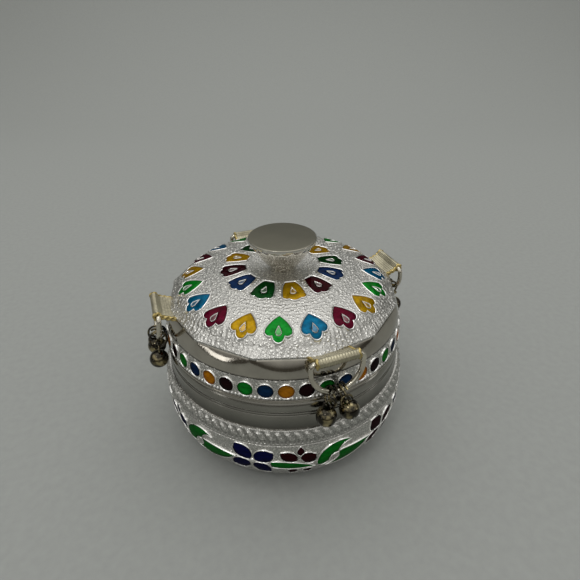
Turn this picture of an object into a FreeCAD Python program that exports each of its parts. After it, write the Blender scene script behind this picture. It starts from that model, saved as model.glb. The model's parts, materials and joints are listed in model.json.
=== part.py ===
import FreeCAD, Part
import math
import os

# A small round enamelled box with a lift-off domed lid and four hangers of bells.
# The origin is the middle of the base, +Z is up, and the front hanger is on -Y.

# Box body, pressed from sheet
body_height = 35.0
body_wall = 0.9
base_radius = 29.7
foot_bore = 24.0
foot_lift = 1.0
belly_radius = 39.9
belly_height = 16.0
belly_sag = 0.35
band_foot_radius = 38.5
band_foot_drop = 9.2
band_top_radius = 38.08
band_top_drop = 4.7
groove_radius = 37.82
groove_drops = (4.45, 3.65)
ridge_radius = 38.02
ridge_drops = (4.2, 3.9)
lip_foot_radius = 37.95
lip_foot_drop = 3.45
lip_bulge = 0.5
lip_top_radius = 37.3
lip_top_drop = 0.1
mouth_radius = 37.1
neck_depth = 6.0

# Collar that the lid slips over
collar_radius = 35.9
collar_wall = 0.7
collar_rise = 4.3

# Embossed vine sheet round the belly
vine_thickness = 0.5
vine_foot_height = 3.0

# Vine motifs, across and up from the middle of each: petals by angle, start, end and half width,
# leaves and stem by the points that their arcs join, every second one being passed on the way
vine_units = 6
vine_azimuth = -83.2
vine_height = 14.0
flower_angle = 20.2
stem_angle = 36.4
petal_blunt = 0.8
open_petals = ((37, 1.4, 6.8, 2.6), (130, 1.4, 7.2, 2.6), (213, 1.4, 7.0, 2.6), (312, 1.4, 7.3, 2.5))
crossed_petals = ((32, 1.5, 5.2, 2.5), (97, 2.6, 6.1, 1.2), (142, 1.7, 7.2, 1.8), (247, 4.0, 7.2, 1.6),
                  (292, 4.4, 7.4, 1.5))
head_leaf = ((-8.9, -3.1), (-9.2, 0), (-7.7, 3.3), (-4.3, 5.3), (1.2, 4.3),
             (-2.6, 3.3), (-3.6, 1.2), (-5.6, 0.2), (-6.2, -2.2), (-7.4, -3.6))
tail_leaf = ((-6.4, -4.6), (-3.6, -3.2), (-2.4, -0.6), (-2.7, 0.6), (-1.6, 1.4),
             (3.6, 1.0), (9.2, 0.4), (3.0, -4.2))
stem = ((-6.1, 0.1), (-0.7, 0), (6.5, -3.5), (-0.7, -2.9), (-5.9, -2.3), (-6.15, -1.1))

# Lid shell, heights above the rim
lid_wall = 0.8
rim_seat_radius = 36.7
rim_bead_radius = 37.7
rim_bead = 0.65
band_low_radius = 37.5
band_high_radius = 36.6
band_high_rise = 7.7
facet_count = 13
facet_azimuth = -124.0
facet_foot_radius = 36.97
facet_top_radius = 35.9
facet_top_rise = 11.9
shoulder_radius = 33.2
shoulder_rise = 14.3
dome_edge_radius = 28.5
dome_edge_rise = 17.3
dome_bulge = 0.35
shoulder_bulge = 0.45
flare_radius = 10.6
flare_rise = 20.3
flare_dip = 0.9
stalk_radius = 5.1
stalk_rise = 22.8
knob_hole = 1.7

# Embossed sheet on the dome and dotted strip on the band
sheet_thickness = 0.6
strip_thickness = 0.4
strip_low_rise = 1.5
strip_high_rise = 7.5

# Enamel cells of the dome and dots of the strip
outer_count = 20
outer_azimuth = -111.96
outer_radius = 29.4
outer_length = 7.4
outer_width = 6.9
inner_count = 12
inner_azimuth = -129.22
inner_radius = 15.5
inner_length = 6.8
inner_width = 6.2
tear_length = 2.7
tear_width = 1.5
dot_count = 44
dot_azimuth = -166.09
dot_radius = 1.9
dot_rise = 4.3

# Knob with its screw and washer
knob_radius = 10.4
knob_neck_radius = 4.6
knob_height = 7.0
knob_disc = 1.5
knob_edge = 0.5
knob_cone_bow = 0.45
screw_radius = 1.45
screw_reach = 4.5
screw_clearance = 0.05
screw_head_radius = 2.9
screw_head = 1.6
washer_radius = 3.7
washer = 0.6

# Hangers: folded clip, wire ring, coiled split rings and bells
hanger_names = ("front", "right", "back", "left")
hanger_azimuth = -90.0
bar_radius = 39.2
bar_rise = 14.6
ring_lean = 8.0
ring_wire = 1.4
ring_bow = 7.2
ring_corner = 1.4
ring_side = 2.4
clip_half_length = 5.7
clip_bore_clearance = 0.05
clip_wall = 0.7
clip_leaf = 0.9
clip_root_radius = 34.0
clip_root_rise = 12.3
split_wire = 0.65
split_pitch = 1.07
split_radius = 2.475
hang_clearance = 0.15
split_offset = 1.5
splay = 14.0
bell_radius = 2.8
bell_wall = 0.35
bell_slot = 0.6
bell_slot_depth = 2.2
bell_slot_end = 0.45
eye_radius = 1.65
eye_wire = 0.6
eye_lift = 0.45
eye_seat = 0.518
pellet_radius = 0.9
pellet_clearance = 0.05

# Working values
overrun = 1.0
bezier_share = 0.5523
half = 0.5
facet_wall_share = 1.5
seam = body_height
up = FreeCAD.Vector(0, 0, 1)
origin = FreeCAD.Vector(0, 0, 0)


def at(radius, height):
    """A point of a turned profile, on the +X side."""
    return FreeCAD.Vector(radius, 0, height)


def line(start, end):
    return Part.LineSegment(start, end).toShape()


def arc(start, through, end):
    return Part.Arc(start, through, end).toShape()


def bowed(start, end, bow):
    """An arc from start to end that swells by bow to the left of its chord in the XZ plane."""
    chord = end - start
    left = FreeCAD.Vector(-chord.z, 0, chord.x).normalize()
    return arc(start, (start + end) * half + left * bow, end)


def quarter(start, end):
    """An elliptic quarter from a vertical tangent at start to a level tangent at end."""
    first = FreeCAD.Vector(start.x, 0, start.z + (end.z - start.z) * bezier_share)
    second = FreeCAD.Vector(end.x + (start.x - end.x) * bezier_share, 0, end.z)
    curve = Part.BezierCurve()
    curve.setPoles([start, first, second, end])
    return curve.toShape()


def path(points):
    """Straight edges through the points."""
    return [line(start, end) for start, end in zip(points, points[1:])]


def turned(edges):
    """The solid that a closed profile sweeps about the Z axis."""
    return Part.Face(Part.Wire(edges)).revolve(origin, up, 360)


def tube(radius, bore, low, high):
    return turned(path([at(bore, low), at(radius, low), at(radius, high), at(bore, high), at(bore, low)]))


def spun(shape, azimuth):
    copy = shape.copy()
    copy.rotate(origin, up, azimuth)
    return copy


def pieces(shape):
    """All solids of a result as one group."""
    return Part.makeCompound(shape.Solids)


def save(name, shape):
    if not shape.isValid():
        raise ValueError(name + " is not valid")
    shape.exportStep("parts/" + name + ".step")
    print(name, len(shape.Solids), round(shape.Volume, 3))


# Box body
band_foot = seam - band_foot_drop


def belly_edges(extra):
    """Outer profile of the belly from the base up to the plain band, moved out by extra."""
    low = at(base_radius + extra, 0)
    widest = at(belly_radius + extra, belly_height)
    top = at(band_foot_radius + extra, band_foot)
    return [quarter(widest, low), bowed(widest, top, -belly_sag)]


def belly_solid(extra):
    lower, upper = belly_edges(extra)
    top = at(band_foot_radius + extra, band_foot)
    closing = path([top, at(0, band_foot), at(0, 0), at(base_radius + extra, 0)])
    return turned([lower, upper] + closing)


def body_shell():
    lower, upper = belly_edges(0)
    lip_foot = at(lip_foot_radius, seam - lip_foot_drop)
    lip_top = at(lip_top_radius, seam - lip_top_drop)
    outside = path([
        at(band_foot_radius, band_foot), at(band_top_radius, seam - band_top_drop),
        at(groove_radius, seam - groove_drops[0]), at(ridge_radius, seam - ridge_drops[0]),
        at(ridge_radius, seam - ridge_drops[1]), at(groove_radius, seam - groove_drops[1]), lip_foot])
    outside.append(bowed(lip_foot, lip_top, -lip_bulge))
    outside += path([
        lip_top, at(mouth_radius, seam), at(collar_radius, seam),
        at(collar_radius, seam - neck_depth), at(band_foot_radius - body_wall, band_foot)])
    inner_widest = at(belly_radius - body_wall, belly_height)
    inner_low = at(base_radius, body_wall)
    inner_upper = bowed(inner_widest, at(band_foot_radius - body_wall, band_foot), -belly_sag)
    floor = path([
        inner_low, at(foot_bore + foot_lift, body_wall), at(foot_bore, foot_lift + body_wall),
        at(0, foot_lift + body_wall), at(0, foot_lift), at(foot_bore, foot_lift),
        at(foot_bore + foot_lift, 0), at(base_radius, 0)])
    return turned([lower, upper] + outside + [inner_upper, quarter(inner_widest, inner_low)] + floor)


def vine_layer():
    sheet = belly_solid(vine_thickness).cut(belly_solid(0))
    foot = FreeCAD.Vector(0, 0, -overrun)
    return sheet.cut(Part.makeCylinder(belly_radius + overrun, vine_foot_height + overrun, foot))


def wall_prism(edges, azimuth):
    """A prism through the front wall: an outline drawn as (across, height) and pushed along the radius."""
    face = Part.Face(Part.Wire(edges))
    depth = belly_radius - base_radius + overrun + vine_thickness
    return spun(face.extrude(FreeCAD.Vector(depth, 0, 0)), azimuth)


def on_wall(across, height):
    return FreeCAD.Vector(base_radius, across, vine_height + height)


petal_middle_share = 0.42
petal_end_share = 0.55


def outline(spots):
    """A closed outline of arcs on the wall; every second point is passed on the way to the next."""
    points = [on_wall(*spot) for spot in spots] + [on_wall(*spots[0])]
    return [arc(*points[number:number + 3]) for number in range(0, len(spots), 2)]


def petal(angle, start, end, half_width):
    """Points of a broad petal with a blunt end, its axis at the angle from the level."""
    turn = math.radians(angle)
    middle = start + (end - start) * petal_middle_share
    corner, corner_width = end - petal_blunt, half_width * petal_end_share
    spots = ((start, 0), (middle, half_width), (corner, corner_width), (end, 0), (corner, -corner_width),
             (middle, -half_width))
    cosine, sine = math.cos(turn), math.sin(turn)
    return [(reach * cosine - side * sine, reach * sine + side * cosine) for reach, side in spots]


def vine_cells():
    """Cutters of the vine by colour: in each unit two leaves between two flowers, the first crossed by a stem."""
    cells = {"green": [], "blue": [], "maroon": []}
    for unit in range(vine_units):
        azimuth = vine_azimuth + unit * 360 / vine_units
        colour = "blue" if unit % 2 else "maroon"
        for petals, turn in ((crossed_petals, -flower_angle), (open_petals, flower_angle)):
            cells[colour] += [wall_prism(outline(petal(*row)), azimuth + turn) for row in petals]
        for spots, turn in ((head_leaf, 0), (tail_leaf, 0), (stem, stem_angle)):
            cells["green"].append(wall_prism(outline(spots), azimuth + turn))
    return cells


# Lid
def facet_points(height):
    step = 2 * math.pi / facet_count
    first = math.radians(facet_azimuth)
    angles = [first + step * number for number in range(facet_count + 1)]
    return [FreeCAD.Vector(facet_top_radius * math.cos(a), facet_top_radius * math.sin(a), height) for a in angles]


def facet_polygon(height):
    return Part.Wire(path(facet_points(height)))


def divided_circle(radius, height):
    """A circle cut into one arc for each facet, so that arcs and facets pair up."""
    step = 2 * math.pi / facet_count
    first = math.radians(facet_azimuth)
    spots = [FreeCAD.Vector(radius * math.cos(first + step * half * number),
                            radius * math.sin(first + step * half * number), height)
             for number in range(2 * facet_count + 1)]
    return Part.Wire([arc(*spots[number:number + 3]) for number in range(0, 2 * facet_count, 2)])


def dome_edges(inset):
    """The dome's profile from the shoulder in to the stalk, lowered and drawn in by inset."""
    shoulder = at(shoulder_radius - inset, seam + shoulder_rise - inset)
    edge = at(dome_edge_radius, seam + dome_edge_rise - inset)
    flare = at(flare_radius, seam + flare_rise - inset)
    stalk = at(stalk_radius - inset, seam + stalk_rise - inset)
    bows = ((shoulder, edge, -shoulder_bulge), (edge, flare, -dome_bulge), (flare, stalk, flare_dip))
    return [bowed(*bow) for bow in bows], shoulder, stalk


def dome_solid(lift):
    """The dome above the facets, raised by lift: a ruled skirt from the polygon and a turned cap."""
    polygon = facet_polygon(seam + facet_top_rise)
    skirt = Part.makeLoft([polygon, divided_circle(shoulder_radius, seam + shoulder_rise)], True, True)
    edges, shoulder, stalk = dome_edges(0)
    closing = path([stalk, at(0, stalk.z), at(0, shoulder.z), shoulder])
    cap = turned(edges + closing)
    dome = skirt.fuse(cap)
    dome.translate(FreeCAD.Vector(0, 0, lift))
    return dome


def band_radius(rise):
    share = (rise - 2 * rim_bead) / (band_high_rise - 2 * rim_bead)
    return band_low_radius + (band_high_radius - band_low_radius) * share


def lid_form():
    """The outside of the lid shell as a full solid: rolled rim, band, facets and dome."""
    bead_low, bead_high = at(rim_bead_radius, seam), at(rim_bead_radius, seam + 2 * rim_bead)
    bead = arc(bead_low, at(rim_bead_radius + rim_bead, seam + rim_bead), bead_high)
    band = path([
        bead_high, at(band_low_radius, seam + 2 * rim_bead), at(band_high_radius, seam + band_high_rise),
        at(0, seam + band_high_rise), at(0, seam), bead_low])
    facets = Part.makeLoft([divided_circle(facet_foot_radius, seam + band_high_rise),
                            facet_polygon(seam + facet_top_rise)], True, True)
    return turned([bead] + band).fuse([facets, dome_solid(0)])


def lid_hollow():
    """The room under the lid, inside the facets by the wall."""
    facet_inner = facet_top_radius * math.cos(math.pi / facet_count) - lid_wall * facet_wall_share
    edges, shoulder, stalk = dome_edges(lid_wall)
    side = path([
        at(0, seam - overrun), at(rim_seat_radius, seam - overrun), at(rim_seat_radius, seam),
        at(band_high_radius - lid_wall, seam + band_high_rise), at(facet_inner, seam + facet_top_rise - lid_wall),
        shoulder])
    top = path([stalk, at(0, stalk.z), at(0, seam - overrun)])
    return turned(side + edges + top)


def knob_bore():
    return Part.makeCylinder(knob_hole, stalk_rise + sheet_thickness + overrun, FreeCAD.Vector(0, 0, seam))


def top_sheet():
    polygon = Part.Face(facet_polygon(seam + facet_top_rise)).extrude(FreeCAD.Vector(0, 0, sheet_thickness))
    raised = dome_solid(sheet_thickness).fuse(polygon)
    return raised.cut([dome_solid(0), knob_bore()])


def dot_strip():
    low, high = strip_low_rise, strip_high_rise
    inner = [at(band_radius(low), seam + low), at(band_radius(high), seam + high)]
    outer = [at(band_radius(high) + strip_thickness, seam + high), at(band_radius(low) + strip_thickness, seam + low)]
    return turned(path(inner + outer + inner[:1]))


# Outlines of the enamel cells, as shares of half the width and of the length, tip towards the knob
outer_tip_shares = (0, -0.5)
outer_side_shares = (0.64, -0.2)
outer_hip_shares = (0.97, 0.06)
outer_lobe_shares = (0.88, 0.27)
outer_notch_shares = (0.46, 0.3)
outer_end_shares = (0, 0.5)
inner_tip_shares = (0.46, -0.5)
inner_side_shares = (0.82, -0.18)
inner_hip_shares = (1, 0.2)
inner_lobe_shares = (0.9, 0.38)
inner_notch_shares = (0.5, 0.4)
inner_end_shares = (0, 0.5)
tear_round_share = 0.2


def dome_cell(edges, azimuth):
    """An upright prism through the dome sheet from an outline on the +X side."""
    return spun(Part.Face(Part.Wire(edges)).extrude(up * (stalk_rise + overrun)), azimuth)


def teardrop(radius):
    point = FreeCAD.Vector(radius - tear_length * half, 0, seam)
    neck = radius + tear_length * tear_round_share
    far = FreeCAD.Vector(radius + tear_length * half, 0, seam)
    left, right = (FreeCAD.Vector(neck, side * tear_width * half, seam) for side in (1, -1))
    return [line(point, left), arc(left, far, right), line(right, point)]


def motif(shares, radius, length, width, azimuth):
    """A leaf-shaped cell with a teardrop left bare in its middle; the shares run from its tip to its end."""
    tip, side, hip, lobe, notch, end = shares

    def spot(pair, sign):
        return FreeCAD.Vector(radius + pair[1] * length, sign * pair[0] * width * half, seam)

    edges = []
    for sign in (1, -1):
        edges.append(arc(spot(tip, sign), spot(side, sign), spot(hip, sign)))
        edges.append(arc(spot(hip, sign), spot(lobe, sign), spot(notch, sign)))
    edges.append(arc(spot(notch, 1), spot(end, 1), spot(notch, -1)))
    if tip[0]:
        edges.append(line(spot(tip, 1), spot(tip, -1)))
    cell = dome_cell(Part.__sortEdges__(edges), azimuth)
    return cell.cut(dome_cell(teardrop(radius), azimuth))


outer_shares = (outer_tip_shares, outer_side_shares, outer_hip_shares,
                outer_lobe_shares, outer_notch_shares, outer_end_shares)
inner_shares = (inner_tip_shares, inner_side_shares, inner_hip_shares,
                inner_lobe_shares, inner_notch_shares, inner_end_shares)
outer_colours = ("green", "blue", "crimson", "yellow")
inner_colours = ("green", "yellow", "crimson", "blue")
dot_colours = ("maroon", "green", "blue", "orange")


def by_colour(colours, count, azimuth, make):
    """Cutters spaced evenly round the lid, grouped by colour in turn."""
    cells = {colour: [] for colour in colours}
    for number in range(count):
        colour = colours[number % len(colours)]
        cells[colour].append(make(azimuth + number * 360 / count))
    return cells


def dot(azimuth):
    reach = band_low_radius + strip_thickness + overrun
    start = FreeCAD.Vector(band_high_radius - strip_thickness - overrun, 0, seam + dot_rise)
    return spun(Part.makeCylinder(dot_radius, reach - start.x, start, FreeCAD.Vector(1, 0, 0)), azimuth)


def knob():
    foot = seam + stalk_rise + sheet_thickness
    top = foot + knob_height
    rim_low = top - knob_disc
    edge_low, edge_high = at(knob_radius, rim_low + knob_edge), at(knob_radius, top - knob_edge)
    inset = knob_edge * (1 - math.sqrt(half))
    edges = [
        line(at(0, foot), at(knob_neck_radius, foot)),
        bowed(at(knob_neck_radius, foot), at(knob_radius - knob_edge, rim_low), knob_cone_bow),
        arc(at(knob_radius - knob_edge, rim_low), at(knob_radius - inset, rim_low + inset), edge_low),
        line(edge_low, edge_high),
        arc(edge_high, at(knob_radius - inset, top - inset), at(knob_radius - knob_edge, top)),
        line(at(knob_radius - knob_edge, top), at(0, top)),
        line(at(0, top), at(0, foot))]
    hole = Part.makeCylinder(screw_radius + screw_clearance, screw_reach + overrun + overrun,
                             FreeCAD.Vector(0, 0, foot - overrun))
    return turned(edges).cut(hole)


def screw_seat():
    return seam + stalk_rise - lid_wall


def knob_washer():
    return tube(washer_radius, screw_radius + screw_clearance, screw_seat() - washer, screw_seat())


def knob_screw():
    """A domed screw head under the washer with its shank up into the knob."""
    seat = screw_seat() - washer
    tip = seam + stalk_rise + sheet_thickness + screw_reach
    edges = path([at(screw_head_radius, seat), at(screw_radius, seat), at(screw_radius, tip), at(0, tip),
                  at(0, seat - screw_head)])
    crown = arc(at(0, seat - screw_head), at(screw_head_radius * math.sqrt(half), seat - screw_head * math.sqrt(half)),
                at(screw_head_radius, seat))
    return turned(edges + [crown])


# Hangers, built with the wire ring's bar along Y at the origin and the ring hanging towards -Z
def hung(shape, azimuth):
    """A hanger piece leaned out and carried from its bar to its place on the lid."""
    copy = shape.copy()
    copy.rotate(origin, FreeCAD.Vector(0, 1, 0), -ring_lean)
    return on_bar(copy, azimuth)


def on_bar(shape, azimuth):
    copy = shape.copy()
    copy.translate(FreeCAD.Vector(bar_radius, 0, seam + bar_rise))
    return spun(copy, azimuth)


def wire_ring():
    """A closed ring of round wire: straight bar, small corners, short sides and a half-round bow."""
    corner = ring_bow - ring_corner
    bend = ring_corner * math.sqrt(half)

    def spot(across, drop):
        return FreeCAD.Vector(0, across, -drop)

    edges = [line(spot(-corner, 0), spot(corner, 0)),
             arc(spot(corner, 0), spot(corner + bend, ring_corner - bend), spot(ring_bow, ring_corner)),
             line(spot(ring_bow, ring_corner), spot(ring_bow, ring_side)),
             arc(spot(ring_bow, ring_side), spot(0, ring_side + ring_bow), spot(-ring_bow, ring_side)),
             line(spot(-ring_bow, ring_side), spot(-ring_bow, ring_corner)),
             arc(spot(-ring_bow, ring_corner), spot(-corner - bend, ring_corner - bend), spot(-corner, 0))]
    section = Part.Wire(Part.makeCircle(ring_wire * half, origin, FreeCAD.Vector(0, 1, 0)))
    return Part.Wire(edges).makePipeShell([section], True, False)


def clip():
    """A sheet leaf folded round the ring's bar: a bored sleeve with two closed layers back to the dome."""
    along = FreeCAD.Vector(0, 1, 0)
    start = FreeCAD.Vector(0, -clip_half_length, 0)
    bore = ring_wire * half + clip_bore_clearance
    sleeve = Part.makeCylinder(bore + clip_wall, 2 * clip_half_length, start, along)
    root = FreeCAD.Vector(clip_root_radius - bar_radius, 0, clip_root_rise - bar_rise)
    across = FreeCAD.Vector(-root.z, 0, root.x).normalize() * (clip_leaf * half)
    corners = [across, root + across, root - across, across * -1, across]
    leaf_face = Part.Face(Part.Wire(path([corner + start for corner in corners])))
    folded = sleeve.fuse(leaf_face.extrude(along * (2 * clip_half_length)))
    return folded.cut(Part.makeCylinder(bore, 2 * clip_half_length, start, along))


def biarc(start, first, end, last):
    """Two arcs with one tangent where they meet, from start along first to end along last."""
    span, both = end - start, first + last
    spread = 2 * (1 - first.dot(last))
    reach = (math.sqrt(span.dot(both) ** 2 + spread * span.dot(span)) - span.dot(both)) / spread
    poles = (start + first * reach, end - last * reach)
    joint = (poles[0] + poles[1]) * half
    edges = []
    for near, pole, far in ((start, poles[0], joint), (joint, poles[1], end)):
        middle = (near + far) * half
        chord = (far - near).Length * half
        rise = pole - middle
        sagitta = chord * math.tan(math.atan2(rise.Length, chord) * half)
        edges.append(arc(near, middle + rise.normalize() * sagitta, far))
    return edges


split_turns = 2
split_steps = 8
split_cross_shares = (0.44, 0.56)
split_end_shares = (0.065, 0.935)


def split_point(share):
    """A point of the split ring's wire: two flat turns with a smooth crossing on the outer side."""
    low, high = split_cross_shares
    slide = min(max((share - low) / (high - low), 0), 1)
    angle = 2 * math.pi * split_turns * share + math.pi * half
    across = split_pitch * (slide * slide * (3 - 2 * slide) - half)
    return FreeCAD.Vector(split_radius * math.sin(angle), across, split_radius * math.cos(angle))


def split_tangent(share):
    nudge = 1 / (1000 * split_turns * split_steps)
    return (split_point(share + nudge) - split_point(share - nudge)).normalize()


def split_shares(count):
    """Even steps along the wire, whose two ends stop short of the crossing."""
    low, high = split_end_shares
    return [low + (high - low) * number / count for number in range(count + 1)]


def split_ring():
    """A coiled ring about the Y axis, as one tube along biarcs of an eighth of a turn."""
    shares = split_shares(split_turns * split_steps)
    edges = []
    for low, high in zip(shares, shares[1:]):
        edges += biarc(split_point(low), split_tangent(low), split_point(high), split_tangent(high))
    start = shares[0]
    section = Part.Wire(Part.makeCircle(split_wire * half, split_point(start), split_tangent(start)))
    return Part.Wire(edges).makePipeShell([section], True, False)


def split_gap():
    """The least gap between the two turns, measured on points half a turn or more apart."""
    count = 40 * split_turns
    spots = [split_point(share) for share in split_shares(count)]
    away = count // (2 * split_turns)
    return min((a - b).Length for i, a in enumerate(spots) for b in spots[i + away:]) - split_wire


def bell():
    """A hollow ball with a slot that ends in two round holes, and a wire eye on top."""
    ball = Part.makeSphere(bell_radius)
    centre = FreeCAD.Vector(0, 0, bell_radius + eye_lift)
    eye = Part.makeTorus(eye_radius, eye_wire * half, centre, FreeCAD.Vector(1, 0, 0))
    hollow = Part.makeSphere(bell_radius - bell_wall)
    reach = bell_radius + overrun
    slot = Part.makeBox(2 * reach, bell_slot, bell_slot_depth,
                        FreeCAD.Vector(-reach, -bell_slot * half, -bell_radius - bell_slot_end))
    hole_height = bell_slot_depth - bell_radius - bell_slot_end
    holes = Part.makeCylinder(bell_slot_end, 2 * reach, FreeCAD.Vector(-reach, 0, hole_height),
                              FreeCAD.Vector(1, 0, 0))
    return ball.fuse(eye).cut([hollow, slot, holes])


def pellet():
    rest = bell_radius - bell_wall - pellet_radius - pellet_clearance
    return Part.makeSphere(pellet_radius, FreeCAD.Vector(0, 0, -rest))


def strung(shape, drop, side):
    """A piece of one bell's string: lowered below the ring's wire, splayed to its side and set on the bow."""
    copy = shape.copy()
    copy.translate(FreeCAD.Vector(0, 0, -drop))
    copy.rotate(origin, FreeCAD.Vector(1, 0, 0), side * splay)
    sag = ring_side + math.sqrt(ring_bow ** 2 - split_offset ** 2)
    copy.translate(FreeCAD.Vector(0, side * split_offset, -sag))
    return copy


split_drop = split_radius - split_wire * half - ring_wire * half - hang_clearance
knot_drop = split_drop + split_radius
bell_drop = knot_drop + eye_seat + bell_radius + eye_lift


def save_box():
    layer = vine_layer()
    cells = vine_cells()
    save("body_shell", body_shell())
    save("neck_collar", tube(collar_radius, collar_radius - collar_wall, seam - neck_depth, seam + collar_rise))
    save("vine_sheet", layer.cut([cell for group in cells.values() for cell in group]))
    for colour, group in cells.items():
        save("vine_" + colour, pieces(layer.common(Part.makeCompound(group))))


def save_inlay(sheet_name, sheet, prefix_cells):
    """A sheet with its cells cut out, and the enamel that fills them, one node for each colour."""
    cutters = [cell for cells in prefix_cells.values() for group in cells.values() for cell in group]
    left = sorted(sheet.cut(cutters).Solids, key=lambda solid: solid.Volume)
    save(sheet_name, left.pop())
    if left:
        save(sheet_name + "_teardrops", Part.makeCompound(left))
    for prefix, cells in prefix_cells.items():
        for colour, group in cells.items():
            save(prefix + "_" + colour, pieces(sheet.common(Part.makeCompound(group))))


def save_lid():
    form = lid_form()
    sheet = top_sheet()
    outer = by_colour(outer_colours, outer_count, outer_azimuth,
                      lambda azimuth: motif(outer_shares, outer_radius, outer_length, outer_width, azimuth))
    inner = by_colour(inner_colours, inner_count, inner_azimuth,
                      lambda azimuth: motif(inner_shares, inner_radius, inner_length, inner_width, azimuth))
    dots = by_colour(dot_colours, dot_count, dot_azimuth, dot)
    save("lid_shell", form.cut([lid_hollow(), knob_bore()]))
    save_inlay("lid_top_sheet", sheet, {"outer_enamel": outer, "inner_enamel": inner})
    save_inlay("lid_dot_strip", dot_strip(), {"dot_enamel": dots})
    save("knob", knob())
    save("knob_washer", knob_washer())
    save("knob_screw", knob_screw())
    return form.fuse(sheet)


def save_hangers(lid_outside):
    print("split ring gap", round(split_gap(), 3))
    for number, name in enumerate(hanger_names):
        azimuth = hanger_azimuth + number * 360 / len(hanger_names)
        save(name + "_clip", on_bar(clip(), azimuth).cut(lid_outside))
        save(name + "_ring", hung(wire_ring(), azimuth))
        for letter, side in (("a", -1), ("b", 1)):
            save(name + "_split_ring_" + letter, hung(strung(split_ring(), split_drop, side), azimuth))
            save(name + "_bell_" + letter, hung(strung(bell(), bell_drop, side), azimuth))
            save(name + "_pellet_" + letter, hung(strung(pellet(), bell_drop, side), azimuth))


os.makedirs("parts", exist_ok=True)
save_box()
save_hangers(save_lid())
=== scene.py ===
import json
import math

import bmesh
import bpy
import numpy as np
from bpy.props import FloatProperty, FloatVectorProperty, IntProperty, PointerProperty
from mathutils import Matrix, Vector


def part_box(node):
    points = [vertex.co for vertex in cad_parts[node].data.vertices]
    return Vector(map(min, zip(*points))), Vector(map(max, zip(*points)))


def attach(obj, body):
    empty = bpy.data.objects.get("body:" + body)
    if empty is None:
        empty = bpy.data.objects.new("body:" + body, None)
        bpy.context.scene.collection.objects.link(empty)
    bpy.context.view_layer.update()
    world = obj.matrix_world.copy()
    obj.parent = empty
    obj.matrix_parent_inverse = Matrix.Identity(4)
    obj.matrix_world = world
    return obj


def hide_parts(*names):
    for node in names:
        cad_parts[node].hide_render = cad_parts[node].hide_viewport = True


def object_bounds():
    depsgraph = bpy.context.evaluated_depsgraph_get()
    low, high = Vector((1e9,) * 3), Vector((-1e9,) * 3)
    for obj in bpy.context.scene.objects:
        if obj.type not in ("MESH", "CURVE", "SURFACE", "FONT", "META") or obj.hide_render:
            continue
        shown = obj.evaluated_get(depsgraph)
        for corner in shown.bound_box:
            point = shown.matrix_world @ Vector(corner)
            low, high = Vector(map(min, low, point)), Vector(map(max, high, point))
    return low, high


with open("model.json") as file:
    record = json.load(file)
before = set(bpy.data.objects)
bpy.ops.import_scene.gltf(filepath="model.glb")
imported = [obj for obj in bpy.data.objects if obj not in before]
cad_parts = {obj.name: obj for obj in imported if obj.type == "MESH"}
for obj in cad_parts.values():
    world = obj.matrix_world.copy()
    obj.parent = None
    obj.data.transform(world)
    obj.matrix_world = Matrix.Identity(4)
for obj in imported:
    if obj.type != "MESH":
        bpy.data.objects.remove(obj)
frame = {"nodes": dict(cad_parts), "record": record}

bl_info = {
    "name": "Enamel Box",
    "version": (1, 0, 0),
    "blender": (4, 5, 0),
    "location": "View3D > Sidebar > Enamel Box",
    "description": "Dresses a small round box in engraved silver, enamel and bells",
    "category": "Object",
}

# Units and files
MM = 0.001
CAD_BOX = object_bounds()
FULL_TURN = 2 * math.pi
QUARTER_TURN = math.pi / 2


def cad_box(node):
    """Lowest and highest corner of a CAD node, in millimetres."""
    return np.array(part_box(node), float) / MM


def cad_joint(name):
    """Place of a CAD joint, in millimetres."""
    found = [joint for joint in frame["record"]["behaviour"]["joints"] if joint["name"] == name]
    return np.array(found[0]["pos_m"], float) / MM


def cad_slot(node):
    """Material slot of a CAD node."""
    return next(part["material_slot"] for part in frame["record"]["subparts"] if part["node"] == node)


# Sizes that the frame gives, in millimetres
SEAM = cad_box("lid_shell")[0][2]
BELLY_RADIUS = cad_box("body_shell")[1][0]
VINE_SHEET = cad_box("vine_sheet")[1][0] - BELLY_RADIUS
VINE_LOW, VINE_HIGH = cad_box("vine_sheet")[:, 2]
COLLAR_RADIUS = cad_box("neck_collar")[1][0]
COLLAR_LOW, COLLAR_HIGH = cad_box("neck_collar")[:, 2]
STRIP_LOW, STRIP_HIGH = cad_box("lid_dot_strip")[:, 2] - SEAM
KNOB_RADIUS = cad_box("knob")[1][0]
KNOB_HIGH = cad_box("knob")[1][2]
DOME_SHEET = cad_box("lid_top_sheet")[1][2] - cad_box("lid_shell")[1][2]
BAR_RADIUS = np.hypot(*cad_joint("front_ring_swing")[:2])
BAR_HEIGHT = cad_joint("front_ring_swing")[2]

# Box body; the lip's heights are above the seam, and the collar's start is where its section begins, below
# its top
BASE_RADIUS = 29.7
BODY_WALL = 0.9
FOOT_BORE = 24.0
FOOT_LIFT = 1.0
BELLY_HEIGHT = 16.0
BELLY_SAG = 0.35
BAND_FOOT_RADIUS = 38.5
COLLAR_WALL = 0.7
COLLAR_START = 2.0
LIP_LINES = ((38.08, -4.7), (37.84, -4.45), (38.02, -4.2), (38.02, -3.9), (37.8, -3.65), (37.95, -3.45))
LIP_TOP = (37.3, -0.1)
LIP_BULGE = 0.5
MOUTH_RADIUS = 37.1
EDGE_SOFTNESS = 0.12

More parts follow.
